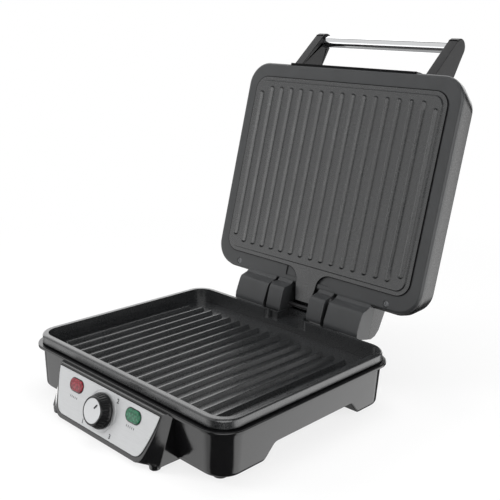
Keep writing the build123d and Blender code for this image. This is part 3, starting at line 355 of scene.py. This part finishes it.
def lens_plastic(name, hex_colour):
    """Tinted polycarbonate: deep colour, lightened at each facet's middle as a painted glow of
    the pale reflector behind, and darkened towards the facets' edges as painted shade.
    """
    made, tree, shader, place = new_material(
        name, **{"IOR": 1.45, "Coat Weight": 0.1, "Coat Roughness": 0.05})
    facets = add_node(tree, "ShaderNodeTexVoronoi", {"Scale": 1 / (2.6 * MM)},
                      {"Vector": place}).outputs["Distance"]
    # Painted light and shade: the colour is lighter at a facet's middle and darker towards its
    # edges
    tree.links.new(
        tint(tree, spread(tree, facets, 0, 1, 0.1, 0.75),
             shade(hex_colour, 1.15), shade(hex_colour, 0.35)),
        shader.inputs["Base Color"])
    tree.links.new(spread(tree, facets, 0.08, 0.2), shader.inputs["Roughness"])
    bump(tree, shader, facets, 0.3, 0.3 * MM)
    return made


def build_materials():
    hue = colours()
    return {
        # Cooking plates: dark, speckled, with a soft wide sheen
        "coating": non_stick_coating(),
        # Base casing and housing from a polished tool: near mirror black
        "gloss": gloss_plastic("high_gloss_ABS", hue.gloss_black),
        # Back of the lid: the same black with a wider, milkier highlight
        "lid_gloss": gloss_plastic("semi_gloss_ABS", hue.gloss_black, 0.24),
        # Lid frame: dark grey that stays even under the softboxes
        "frame": satin_plastic("spark_eroded_PBT", hue.frame_grey),
        # Handle arms and cover: deep black with a faint edge sheen
        "satin": satin_plastic("satin_PA", hue.satin_black, 0.42, ior=1.32),
        # Knob: black with a finer grain, so that the flutes catch thin highlights
        "knob": satin_plastic("fine_textured_ABS", hue.knob_black, 0.3, 0.4 * MM, 1.4),
        # Painted shadows of the gaps round the upper plate and the control panel, and the strip
        # under the handle: a matt line that reads as black beside the grey frame
        "strip": satin_plastic("soft_touch_elastomer", hue.strip_and_gap_shadow_black, 0.55, ior=1.2),
        # Feet: dull and slightly coarse
        "rubber": satin_plastic("moulded_nitrile_rubber", "#1A1A1A", 0.75, 1.2 * MM),
        # Numbers, ticks and the painted gap shadows round the lenses: flat dark grey
        "print": satin_plastic("pad_printed_ink", hue.print_grey, 0.5),
        # Control panel: pale silver with streaks across its width
        "panel": satin_panel(),
        # Disc on the knob: soft bright metal without a clear reflection
        "cap": metal("spun_aluminium_disc", hue.cap_silver, 0.34, grain=0.6 * MM),
        # Handle tube: bright, with reflections drawn along its length
        "chrome": metal("chromium_plated_tube", "#DADBDC", 0.12, (0.03, 1, 1), 0.8 * MM, 0.02),
        # Screws, clips and spindle: dull grey metal
        "zinc": metal("zinc_plated_steel", "#8B8C8E", 0.35),
        # Screws of the lid frame: darker metal that still glints in the recess
        "black_screw": metal("blackened_steel", "#77787A", 0.4),
        # Heat shields: pale and bright
        "sheet": metal("bright_aluminised_steel", "#B9BABB", 0.3),
        # Heating elements: warm grey and dull from use
        "heater": metal("oxidised_stainless_tube", "#6A645E", 0.5),
        # Hinge brackets and rod: black with the orange-peel of a baked powder
        "bracket": satin_plastic("powder_coated_steel", "#1D1D1E", 0.45, 1.0 * MM),
        # Terminal block: pale, warm and chalky
        "ivory": satin_plastic("moulded_urea_resin", "#CFCABC", 0.5),
        # Signal lenses: saturated colour, with a painted glow at each facet's middle and painted
        # shade between the facets
        "red": lens_plastic("tinted_polycarbonate_red", hue.power_red),
        "green": lens_plastic("tinted_polycarbonate_green", hue.ready_green),
        # Lamps behind the lenses: pale and glassy
        "lamp": gloss_plastic("clear_lamp_glass", "#C9C4B8", 0.08),
    }


MATERIALS = {}


# Modelling


def activate(piece):
    bpy.ops.object.select_all(action="DESELECT")
    piece.select_set(True)
    bpy.context.view_layer.objects.active = piece


def edit(piece, mode="FACE"):
    """Enter edit mode on one piece with nothing selected."""
    activate(piece)
    bpy.ops.object.mode_set(mode="EDIT")
    bpy.ops.mesh.select_mode(type=mode)
    bpy.ops.mesh.select_all(action="DESELECT")


def done():
    bpy.ops.object.mode_set(mode="OBJECT")


def pick(piece, test, kind="polygons"):
    """In edit mode, select the faces, edges or vertices that a test of their data passes."""
    bpy.ops.object.mode_set(mode="OBJECT")
    for item in getattr(piece.data, kind):
        if test(item):
            item.select = True
    bpy.ops.object.mode_set(mode="EDIT")


def edge_middle(piece, item):
    a, b = item.vertices
    return (piece.data.vertices[a].co + piece.data.vertices[b].co) / 2


def face_outwards():
    """In edit mode, turn every face of a closed piece outwards."""
    bpy.ops.mesh.select_all(action="SELECT")
    bpy.ops.mesh.normals_make_consistent(inside=False)


def modify(piece, kind, **settings):
    """Add a modifier, set it up and apply it."""
    activate(piece)
    modifier = piece.modifiers.new(kind.title(), kind)
    for key, value in settings.items():
        setattr(modifier, key, value)
    bpy.ops.object.modifier_apply(modifier=modifier.name)


def smooth(piece, angle=SMOOTH_ANGLE):
    activate(piece)
    bpy.ops.object.shade_smooth_by_angle(angle=math.radians(angle))


def smoothed(piece, angle=SMOOTH_ANGLE):
    """Smooth shading that keeps the large faces flat."""
    smooth(piece, angle)
    modify(piece, "WEIGHTED_NORMAL", weight=100, keep_sharp=True)
    return piece


def settle(piece, name, place=None):
    """Name a piece, move its mesh to its place and leave its object at the origin."""
    piece.name = name
    piece.data.name = name
    activate(piece)
    bpy.ops.object.transform_apply(location=True, rotation=True, scale=True)
    if place is not None:
        piece.matrix_world = place
        bpy.context.view_layer.update()
        bpy.ops.object.transform_apply(location=True, rotation=True, scale=True)
    return piece


def hand_over(piece, body, material, slot, *nodes):
    """Give a piece its material and the body it rides on, and hide the nodes it stands for."""
    piece.data.materials.clear()
    piece.data.materials.append(MATERIALS[material])
    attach(piece, body)
    if nodes:
        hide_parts(*nodes)
    return piece


def moulded_copy(node, name, edge, segments=2, turn=SMOOTH_ANGLE):
    """Copy of a node, merged, freed of its triangulation and eased along its edges."""
    activate(frame["nodes"][node])
    bpy.ops.object.duplicate()
    piece = bpy.context.view_layer.objects.active
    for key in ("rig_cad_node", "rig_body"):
        if key in piece:
            del piece[key]
    piece.parent = None
    piece.name = name
    piece.data.name = name
    if piece.data.has_custom_normals:
        bpy.ops.mesh.customdata_custom_splitnormals_clear()
    edit(piece)
    bpy.ops.mesh.select_all(action="SELECT")
    bpy.ops.mesh.remove_doubles(threshold=0.002 * MM)
    if edge:
        bpy.ops.mesh.dissolve_limited(angle_limit=math.radians(0.6))
        bpy.ops.mesh.quads_convert_to_tris(quad_method="BEAUTY", ngon_method="BEAUTY")
    done()
    if edge:
        modify(piece, "BEVEL", width=edge, segments=segments, limit_method="ANGLE",
               angle_limit=math.radians(EDGE_ANGLE), use_clamp_overlap=False,
               harden_normals=False)
    return smoothed(piece, turn)


def outlined(node, name, place, low, high, width):
    """Thin band round the outside of a node, between two heights of its own place."""
    piece = moulded_copy(node, name, 0)
    out = place.to_3x3() @ Vector((0, 0, 1))
    edit(piece)
    for height, inside in ((low, True), (high, False)):
        bpy.ops.mesh.select_all(action="SELECT")
        bpy.ops.mesh.bisect(plane_co=place @ Vector((0, 0, height)), plane_no=out,
                            clear_inner=inside, clear_outer=not inside, threshold=0.001 * MM)
    done()
    modify(piece, "SOLIDIFY", thickness=width, offset=1.0)
    smooth(piece, 40)
    return piece


def eased(piece, width, test):
    """Round the sharp edges whose middle passes a test, and shade the piece again."""
    edit(piece, "EDGE")
    bpy.ops.mesh.edges_select_sharp(sharpness=math.radians(EDGE_ANGLE))
    bpy.ops.object.mode_set(mode="OBJECT")
    for item in piece.data.edges:
        if item.select and not test(edge_middle(piece, item)):
            item.select = False
    bpy.ops.object.mode_set(mode="EDIT")
    bpy.ops.mesh.bevel(offset=width, segments=2, clamp_overlap=False)
    done()
    return smoothed(piece)


def ring_body(name, path, segments=64, stretch=0.0):
    """Closed body drawn up ring by ring through (radius, height), stretched along X."""
    radius, height = path[0]
    bpy.ops.object.select_all(action="DESELECT")
    bpy.ops.mesh.primitive_circle_add(vertices=segments, radius=radius, fill_type="NGON",
                                      location=(0, 0, 0))
    piece = bpy.context.object
    edit(piece)
    bpy.ops.mesh.select_all(action="SELECT")
    bpy.ops.transform.translate(value=(0, 0, height))
    for next_radius, next_height in path[1:]:
        bpy.ops.mesh.extrude_region_move(
            TRANSFORM_OT_translate={"value": (0, 0, next_height - height)})
        if next_radius != radius:
            bpy.ops.transform.resize(value=(next_radius / radius, next_radius / radius, 1))
        radius, height = next_radius, next_height
    face_outwards()
    done()
    if stretch:
        for side in (-1, 1):
            edit(piece, "VERT")
            pick(piece, lambda v, side=side: side * v.co.x > 0.0001 * MM, "vertices")
            bpy.ops.transform.translate(value=(side * stretch / 2, 0, 0))
            done()
    piece.name = name
    return piece


def in_mm(*path):
    return [(radius * MM, height * MM) for radius, height in path]


def finish_node(node, material):
    """A node whose shape is right keeps it and gets its material."""
    part = frame["nodes"][node]
    part.data.materials.clear()
    part.data.materials.append(MATERIALS[material])


def joined(pieces, name):
    bpy.ops.object.select_all(action="DESELECT")
    for piece in pieces:
        piece.select_set(True)
    bpy.context.view_layer.objects.active = pieces[0]
    bpy.ops.object.join()
    pieces[0].name = name
    pieces[0].data.name = name
    return pieces[0]


# Operators


class StageOperator(bpy.types.Operator):
    """Floor, soft lights, white surroundings and the photograph's camera"""

    bl_idname = "grill.stage"
    bl_label = "Stage"

    def execute(self, context):
        self.floor()
        self.surroundings(context.scene)
        self.lamps()
        self.camera(context.scene)
        context.scene.view_settings.view_transform = "Standard"
        return {"FINISHED"}

    def floor(self):
        """Pale floor that keeps the shadow near the grill and goes white away from it."""
        bpy.ops.mesh.primitive_plane_add(size=40, location=(0, 0, 0))
        floor = bpy.context.object
        floor.name = "floor"
        made, tree, shader, place = new_material("matt_studio_floor", **{
            "Base Color": linear(colours().floor), "Roughness": 0.8})
        output = next(n for n in tree.nodes if n.type == "OUTPUT_MATERIAL")
        rays = add_node(tree, "ShaderNodeLightPath")
        glow = add_node(tree, "ShaderNodeEmission", {"Color": (1, 1, 1, 1), "Strength": 1.0})
        away = add_node(tree, "ShaderNodeVectorMath", {"operation": "LENGTH"},
                        {0: place}).outputs["Value"]
        share = add_node(tree, "ShaderNodeMath", {"operation": "MULTIPLY"},
                         {0: rays.outputs["Is Camera Ray"],
                          1: spread(tree, away, 0.8, 1.0, 0.25, 0.9)})
        mix = add_node(tree, "ShaderNodeMixShader", None,
                       {0: share.outputs["Value"], 1: shader.outputs["BSDF"],
                        2: glow.outputs["Emission"]})
        tree.links.new(mix.outputs["Shader"], output.inputs["Surface"])
        floor.data.materials.append(made)
        floor.visible_glossy = False

    def surroundings(self, scene):
        """White behind the grill and through glass; softboxes and dark flags in its gloss."""
        world = bpy.data.worlds.new("studio")
        scene.world = world
        world.use_nodes = True
        tree = world.node_tree
        tree.nodes.clear()
        output = add_node(tree, "ShaderNodeOutputWorld")
        rays = add_node(tree, "ShaderNodeLightPath")
        white = add_node(tree, "ShaderNodeBackground", {"Color": (1, 1, 1, 1), "Strength": 1.0})
        soft = add_node(tree, "ShaderNodeBackground", {"Color": (1, 1, 1, 1), "Strength": 0.3})
        place = add_node(tree, "ShaderNodeTexCoord").outputs["Generated"]
        # Each box: the way to its middle, half its angle, its soft edge and its strength
        boxes = (
            ((-0.70, 0.62, 0.34), 46, 8, 2.0),
            ((-0.58, -0.72, 0.38), 34, 5, 0.85),
            ((-0.62, -0.68, -0.48), 24, 8, 1.0),
            ((-0.70, -0.10, -0.70), 36, 8, 0.4),
            ((0.74, -0.60, 0.25), 30, 8, 2.3),
            ((0.78, 0.62, -0.30), 30, 8, 2.1),
            ((0.0, 0.0, 1.0), 30, 12, 0.2),
        )
        level = None
        for way, half_angle, edge, strength in boxes:
            near = add_node(tree, "ShaderNodeVectorMath",
                            {"operation": "DOT_PRODUCT", 1: Vector(way).normalized()},
                            {0: place})
            glow = add_node(tree, "ShaderNodeMapRange", {
                "interpolation_type": "SMOOTHSTEP",
                "From Min": math.cos(math.radians(half_angle + edge)),
                "From Max": math.cos(math.radians(half_angle)),
                "To Min": 0.0, "To Max": strength}, {"Value": near.outputs["Value"]})
            glow = glow.outputs["Result"]
            if level is None:
                level = add_node(tree, "ShaderNodeMath", {"operation": "ADD", 1: 0.05},
                                 {0: glow}).outputs["Value"]
            else:
                level = add_node(tree, "ShaderNodeMath", {"operation": "ADD"},
                                 {0: level, 1: glow}).outputs["Value"]
        studio = add_node(tree, "ShaderNodeBackground", {"Color": (1, 1, 1, 1)},
                          {"Strength": level})
        gloss = add_node(tree, "ShaderNodeMixShader", None,
                         {0: rays.outputs["Is Glossy Ray"], 1: soft.outputs[0],
                          2: studio.outputs[0]})
        see_through = add_node(tree, "ShaderNodeMath", {"operation": "MAXIMUM"},
                               {0: rays.outputs["Is Camera Ray"],
                                1: rays.outputs["Is Transmission Ray"]})
        mix = add_node(tree, "ShaderNodeMixShader", None,
                       {0: see_through.outputs["Value"], 1: gloss.outputs[0],
                        2: white.outputs[0]})
        tree.links.new(mix.outputs["Shader"], output.inputs["Surface"])

    def lamps(self):
        """Large softboxes above, at the left front, at the right and in front."""
        boxes = (
            ("softbox_top", (-0.1, 0.1, 1.7), (0, 0, 0.1), 1.2, 16.0),
            ("softbox_left", (-1.3, -1.2, 1.0), (0, -0.05, 0.12), 0.8, 24.0),
            ("softbox_right", (1.5, 0.2, 0.8), (0, -0.05, 0.15), 0.9, 14.0),
            ("softbox_front", (0.5, -1.7, 0.9), (0, 0, 0.2), 1.0, 5.0),
        )
        for name, spot, aim, size, power in boxes:
            bpy.ops.object.light_add(type="AREA", location=spot)
            lamp = bpy.context.object
            lamp.name = name
            lamp.data.shape = "SQUARE"
            lamp.data.size = size
            lamp.data.energy = power
            lamp.visible_glossy = False
            lamp.rotation_mode = "QUATERNION"
            lamp.rotation_quaternion = (Vector(aim) - Vector(spot)).to_track_quat("-Z", "Y")

    def camera(self, scene):
        """Camera at the photograph's angle."""
        azimuth, elevation, roll = (math.radians(angle) for angle in CAMERA_ANGLES)
        ahead = Vector((-math.sin(azimuth) * math.cos(elevation),
                        math.cos(azimuth) * math.cos(elevation), -math.sin(elevation)))
        right = ahead.cross(Vector((0, 0, 1))).normalized()
        down = ahead.cross(right)
        turned_right = right * math.cos(roll) + down * math.sin(roll)
        turned_down = down * math.cos(roll) - right * math.sin(roll)
        bpy.ops.object.camera_add()
        camera = bpy.context.object
        camera.name = "camera"
        camera.data.lens = CAMERA_LENS
        camera.data.sensor_width = 36.0
        camera.data.sensor_fit = "HORIZONTAL"
        camera.data.clip_start = 0.01
        camera.data.clip_end = 100
        turn = Matrix((turned_right, -turned_down, -ahead)).transposed().to_4x4()
        camera.matrix_world = Matrix.Translation(CAMERA_SPOT) @ turn
        scene.camera = camera


class PlatesOperator(bpy.types.Operator):
    """Lower tray and upper plate in non-stick coated casting"""

    bl_idname = "grill.plates"
    bl_label = "Cooking plates"

    def execute(self, context):
        # Painted shadow: a dark band round the upper plate stands for the shaded gap between
        # plate and frame
        plate_shadow_band = outlined("upper_plate", "black_plate_seal", LID, PLATE_SHADOW_LOW, PLATE_SHADOW_HIGH,
                        sizes().plate_shadow_width)
        hand_over(plate_shadow_band, "lid", "strip", "matt_black")
        for node, name, body, on_top in (
                ("lower_plate", "lower_ribbed_plate", "base", self.on_tray_rib),
                ("upper_plate", "upper_ribbed_plate", "lid", self.on_lid_rib)):
            piece = moulded_copy(node, name, 0, turn=42)
            self.narrow_ribs(piece, on_top)
            hand_over(piece, body, "coating", "nonstick", node)
        return {"FINISHED"}

    def on_tray_rib(self, vertex):
        return (TRAY_RIB_LOW < vertex.co.z < TRAY_RIB_HIGH
                and abs(vertex.co.y - PLATE_Y) < TRAY_RIB_HALF)

    def on_lid_rib(self, vertex):
        return (FROM_LID @ vertex.co).z > LID_RIB_TOP

    def narrow_ribs(self, piece, on_top):
        """Draw the tops of the ribs in, so that their sides slope as a casting's draft does."""
        for count in range(-RIBS_EACH_SIDE, RIBS_EACH_SIDE + 1):
            middle = count * RIB_PITCH

            def on_this_rib(vertex, middle=middle):
                return abs(vertex.co.x - middle) < RIB_REACH and on_top(vertex)

            edit(piece, "VERT")
            pick(piece, on_this_rib, "vertices")
            bpy.ops.transform.resize(value=(sizes().rib_top, 1, 1),
                                     center_override=(middle, 0, 0))
            done()
        smoothed(piece, 42)


class CasingOperator(bpy.types.Operator):
    """Gloss black base casing, its cover, feet and cord gland"""

    bl_idname = "grill.casing"
    bl_label = "Base casing"

    def execute(self, context):
        edge = sizes().moulding_edge
        for node, name, width, material, slot in (
                ("base_casing", "gloss_base_casing", edge, "gloss", "gloss_black"),
                ("bottom_cover", "arched_bottom_cover", edge, "satin", "matt_black"),
                ("rubber_feet", "soft_feet", 0.4 * MM, "rubber", "rubber"),
                ("cord_gland", "inlet_gland", 0.4 * MM, "satin", "matt_black")):
            hand_over(moulded_copy(node, name, width), "base", material, slot, node)
        return {"FINISHED"}


class ControlsOperator(bpy.types.Operator):
    """Control housing, silver panel with its marks, and signal lenses"""

    bl_idname = "grill.controls"
    bl_label = "Controls"

    def execute(self, context):
        piece = moulded_copy("control_housing", "sloping_housing", sizes().moulding_edge)
        hand_over(piece, "base", "gloss", "gloss_black", "control_housing")
        # Painted shadow: a dark band round the silver panel stands for the shaded gap between
        # panel and housing
        panel_shadow_band = outlined("control_panel", "black_panel_edging", PANEL, PANEL_SHADOW_LOW,
                          PANEL_SHADOW_HIGH, PANEL_SHADOW_WIDTH)
        hand_over(panel_shadow_band, "base", "strip", "matt_black")
        piece = moulded_copy("control_panel", "silver_panel", 0.3 * MM)
        hand_over(piece, "base", "panel", "panel_silver", "control_panel")
        for side, node, name, material, slot in (
                (-1, "power_lens", "red_signal_lens", "red", "red_lens"),
                (1, "ready_lens", "green_signal_lens", "green", "green_lens")):
            place = PANEL @ shifted(side * LENS_X, -LENS_DROP, 0)
            hand_over(self.lens(name, place), "base", material, slot, node)
            # Painted shadow: a dark ring round each lens stands for the shaded gap round it
            hand_over(self.bezel(f"{name}_bezel", place), "base", "print", "matt_black")
        hand_over(self.dial_ring(), "base", "panel", "panel_silver")
        hand_over(self.marks(), "base", "print", "matt_black")
        return {"FINISHED"}

    def lens(self, name, place):
        """Obround lens with a rounded shoulder, a shallow groove and a hollow for the lamp."""
        path = in_mm((3.1, 0.05), (3.1, -3), (6.25, -3), (6.25, 1.5), (6.1, 1.85), (5.75, 2.15),
                     (5.2, 2.3), (4.5, 2.38), (4.2, 2.2), (3.9, 2.2), (3.5, 2.34), (2.0, 2.4))
        return settle(smoothed(ring_body(name, path, 48, LENS_STRETCH), 40), name, place)

    def bezel(self, name, place):
        """Thin dark ring that stands just proud of the panel round a lens: painted shadow of the
        gap round the lens.
        """
        path = in_mm((6.2, 0.6), (7.15, 0.6), (7.15, 1.15), (7.0, 1.3), (6.5, 1.3), (6.38, 0.9))
        return settle(smoothed(ring_body(name, path, 48, LENS_STRETCH), 40), name, place)

    def dial_ring(self):
        """Low embossed ring round the knob."""
        bpy.ops.object.select_all(action="DESELECT")
        bpy.ops.mesh.primitive_torus_add(major_radius=DIAL_RADIUS, minor_radius=0.55 * MM,
                                         major_segments=96, minor_segments=10)
        piece = bpy.context.object
        edit(piece)
        bpy.ops.mesh.select_all(action="SELECT")
        bpy.ops.transform.resize(value=(1, 1, 0.5))
        done()
        smooth(piece, 60)
        return settle(piece, "embossed_dial_ring", KNOB @ shifted(0, 0, PANEL_FACE + 0.05 * MM))

    def marks(self):
        """Plain numbers round the knob and a row of ticks under each lens."""
        made = [self.number(*mark) for mark in NUMBERS]
        for middle, drop in TICK_ROWS:
            made += [self.tick(middle + TICK_STEP * step, drop) for step in range(-2, 3)]
        return joined(made, "printed_dial_marks")

    def number(self, text, x, y):
        bpy.ops.object.select_all(action="DESELECT")
        bpy.ops.object.text_add(location=(0, 0, 0))
        piece = bpy.context.object
        piece.data.body = text
        piece.data.size = sizes().number_size
        piece.data.align_x = "CENTER"
        piece.data.align_y = "CENTER"
        piece.data.extrude = 0.03 * MM
        piece.data.offset = 0.18 * MM
        bpy.ops.object.convert(target="MESH")
        piece = bpy.context.object
        place = PANEL @ shifted(x * MM, y * MM, PANEL_FACE + 0.02 * MM)
        return settle(piece, f"number_{text}", place)

    def tick(self, x, y):
        """Upright bar with rounded corners, as thick as a print."""
        bpy.ops.object.select_all(action="DESELECT")
        bpy.ops.mesh.primitive_plane_add(size=sizes().tick_length)
        piece = bpy.context.object
        edit(piece)
        bpy.ops.mesh.select_all(action="SELECT")
        bpy.ops.transform.resize(value=(0.36, 1, 1))
        bpy.ops.mesh.bevel(offset=0.16 * MM, segments=3, affect="VERTICES")
        bpy.ops.mesh.extrude_region_move(TRANSFORM_OT_translate={"value": (0, 0, 0.05 * MM)})
        face_outwards()
        done()
        return settle(piece, "tick", PANEL @ shifted(x * MM, y * MM, PANEL_FACE))


class KnobOperator(bpy.types.Operator):
    """Fluted thermostat knob with its silver disc and pointer"""

    bl_idname = "grill.knob"
    bl_label = "Knob"

    def execute(self, context):
        hand_over(self.body(), "knob", "knob", "gloss_black", "knob_body")
        hand_over(self.disc(), "knob", "cap", "cap_aluminium", "knob_cap")
        hand_over(self.pointer(), "knob", "print", "matt_black", "knob_pointer")
        return {"FINISHED"}

    def body(self):
        """Skirt, fluted cone and rounded rim, hollow behind round the spindle."""
        segments = sizes().flutes * 4
        path = in_mm((3.05, 9.0), (3.05, 1.8), (5.5, 1.8), (5.5, 6.8), (12.5, 6.8), (12.5, 1.8),
                     (17.6, 1.8), (18.0, 2.15), (18.0, 3.9), (17.6, 4.35), (17.25, 4.6),
                     (17.05, 5.1), (14.75, 11.5), (14.55, 11.9), (14.35, 12.2), (14.2, 12.6),
                     (13.8, 12.95), (13.3, KNOB_FACE), (12.7, KNOB_FACE), (12.45, 12.85),
                     (12.45, 12.2))
        piece = ring_body("fluted_knob", path, segments)

        def in_flute(vertex):
            turn = round(math.atan2(vertex.co.y, vertex.co.x) / math.tau * segments) % 4
            on_cone = 4.9 * MM < vertex.co.z < 11.7 * MM and vertex.co.xy.length > 14 * MM
            return turn in (0, 1) and on_cone

        edit(piece, "VERT")
        pick(piece, in_flute, "vertices")
        keep = 1 - sizes().flute_depth / (16 * MM)
        bpy.ops.transform.resize(value=(keep, keep, 1))
        done()
        return settle(smoothed(piece, 28), "fluted_knob", KNOB)

    def disc(self):
        """Silver disc with a raised rim, let into the knob's face."""
        path = in_mm((12.4, 12.2), (12.4, 12.85), (12.25, KNOB_FACE), (11.9, KNOB_FACE),
                     (11.8, 12.9), (11.0, 12.9))
        return settle(smoothed(ring_body("knob_disc", path, 96), 40), "knob_disc", KNOB)

    def pointer(self):
        """Short raised bar with round ends, turned to the right."""
        path = in_mm((0.9, KNOB_FACE), (0.9, 13.2), (0.75, 13.3))
        piece = smoothed(ring_body("knob_mark", path, 24, 4 * MM), 40)
        turn = Matrix.Rotation(POINTER_TURN, 4, "Z")
        return settle(piece, "knob_mark", KNOB @ turn @ shifted(6.7 * MM, 0, 0))


class HingeOperator(bpy.types.Operator):
    """Brackets, rod and bushes of the floating hinge"""

    bl_idname = "grill.hinge"
    bl_label = "Floating hinge"

    def execute(self, context):
        for side in ("left", "right"):
            node = f"hinge_bracket_{side}"
            piece = moulded_copy(node, f"slotted_bracket_{side}", 0.4 * MM)
            hand_over(piece, "base", "bracket", "bracket_steel", node)
        piece = moulded_copy("hinge_rod", "floating_rod", 0.3 * MM)
        hand_over(piece, "slider", "bracket", "bracket_steel", "hinge_rod")
        piece = moulded_copy("slot_bushes", "square_bushes", 0.3 * MM)
        hand_over(piece, "slider", "satin", "matt_black", "slot_bushes")
        return {"FINISHED"}


class LidOperator(bpy.types.Operator):
    """Satin frame and gloss casing of the lid"""

    bl_idname = "grill.lid"
    bl_label = "Lid"

    def execute(self, context):
        edge = sizes().moulding_edge
        piece = moulded_copy("lid_inner_frame", "satin_lid_frame", 0)
        eased(piece, edge, lambda middle: (FROM_LID @ middle).z > LOBE_TOP)
        hand_over(piece, "lid", "frame", "grey_plastic", "lid_inner_frame")
        piece = moulded_copy("lid_outer_casing", "domed_lid_casing", edge)
        hand_over(piece, "lid", "lid_gloss", "gloss_black", "lid_outer_casing")
        screws = joined([self.screw(side) for side in (-1, 1)], "cross_recess_screws")
        hand_over(screws, "lid", "black_screw", "steel", "frame_screws")
        return {"FINISHED"}

    def screw(self, side):
        """Pan-head screw with a cross recess, sunk in the lid's frame."""
        path = in_mm((1.5, -12.9), (1.5, 0), (3.75, 0), (3.8, 1.0), (3.5, 1.5), (2.9, 1.75),
                     (2.0, 1.8))
        piece = ring_body("screw", path, 40)
        for turn in (0, 90):
            bpy.ops.object.select_all(action="DESELECT")
            bpy.ops.mesh.primitive_cube_add(size=1, location=(0, 0, 1.5 * MM))
            cutter = bpy.context.object
            cutter.scale = (0.95 * MM, 4.4 * MM, 1.7 * MM)
            cutter.rotation_euler.z = math.radians(turn + 20)
            modify(piece, "BOOLEAN", object=cutter, operation="DIFFERENCE", solver="EXACT")
            bpy.data.objects.remove(cutter, do_unlink=True)
        smooth(piece, 35)
        place = LID @ shifted(side * FRAME_SCREW.x, FRAME_SCREW.y, FRAME_SCREW.z)
        return settle(piece, "screw", place)


class HandleOperator(bpy.types.Operator):
    """Handle arms, plated tube and strip"""

    bl_idname = "grill.handle"
    bl_label = "Handle"

    def execute(self, context):
        for side in ("left", "right"):
            piece = moulded_copy(f"handle_arm_{side}", f"swept_arm_{side}", 1.2 * MM, 3)
            hand_over(piece, "lid", "satin", "matt_black", f"handle_arm_{side}")
        piece = moulded_copy("handle_tube", "plated_grip_tube", 0.2 * MM)
        hand_over(piece, "lid", "chrome", "chrome", "handle_tube")
        piece = moulded_copy("handle_strip", "top_edge_strip", 0)
        self.reach_forward(piece)
        hand_over(piece, "lid", "strip", "gloss_black", "handle_strip")
        return {"FINISHED"}

    def reach_forward(self, piece):
        """Draw the strip's upper half over the frame's top edge."""
        turn = LID.to_3x3()
        edit(piece)
        bpy.ops.mesh.select_all(action="SELECT")
        bpy.ops.mesh.bisect(plane_co=LID @ Vector((0, STRIP_SEAT, 0)),
                            plane_no=turn @ Vector((0, 1, 0)))
        bpy.ops.mesh.select_all(action="DESELECT")

        def at_front(face):
            spot = FROM_LID @ face.center
            return spot.z > STRIP_BACK and spot.y > STRIP_SEAT + 0.1 * MM

        pick(piece, at_front)
        ahead = turn @ Vector((0, 0, sizes().strip_reach))
        bpy.ops.mesh.extrude_region_move(TRANSFORM_OT_translate={"value": ahead})
        face_outwards()
        done()


class InnerPartsOperator(bpy.types.Operator):
    """Finishes of the fasteners, heaters and electrical parts"""

    bl_idname = "grill.inner_parts"
    bl_label = "Inner parts"

    def execute(self, context):
        finishes = {
            "zinc": ("foot_screws", "plate_screws", "housing_screws", "thermostat_screws",
                     "bracket_screws", "upper_plate_screws", "handle_screws",
                     "thermostat_spindle", "lower_element_clips", "upper_element_clips"),
            "black_screw": ("frame_screws",),
            "heater": ("lower_element", "upper_element"),
            "sheet": ("lower_heat_shield", "upper_heat_shield"),
            "lamp": ("indicator_lamps",),
            "satin": ("thermostat_body",),
            "ivory": ("terminal_block",),
        }
        for material, nodes in finishes.items():
            for node in nodes:
                finish_node(node, material)
        return {"FINISHED"}


class GrillPanel(bpy.types.Panel):
    """Sizes, colours and steps of the grill"""

    bl_idname = "GRILL_PT_build"
    bl_label = "Contact Grill"
    bl_space_type = "VIEW_3D"
    bl_region_type = "UI"
    bl_category = "Contact Grill"

    def draw(self, context):
        for group in (context.scene.grill_sizes, context.scene.grill_colours):
            box = self.layout.box()
            for name in group.__annotations__:
                box.prop(group, name)
        for step in STEPS:
            self.layout.operator(step.bl_idname)


STEPS = (StageOperator, PlatesOperator, CasingOperator, ControlsOperator, KnobOperator,
         HingeOperator, LidOperator, HandleOperator, InnerPartsOperator)
CLASSES = (GrillSizes, GrillColours, *STEPS, GrillPanel)


def register():
    for item in CLASSES:
        bpy.utils.register_class(item)
    bpy.types.Scene.grill_sizes = bpy.props.PointerProperty(type=GrillSizes)
    bpy.types.Scene.grill_colours = bpy.props.PointerProperty(type=GrillColours)


def unregister():
    del bpy.types.Scene.grill_colours
    del bpy.types.Scene.grill_sizes
    for item in reversed(CLASSES):
        bpy.utils.unregister_class(item)


def main():
    """Register the add-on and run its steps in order."""
    register()
    MATERIALS.update(build_materials())
    for step in STEPS:
        group, name = step.bl_idname.split(".")
        getattr(getattr(bpy.ops, group), name)()


if __name__ == "__main__":
    main()
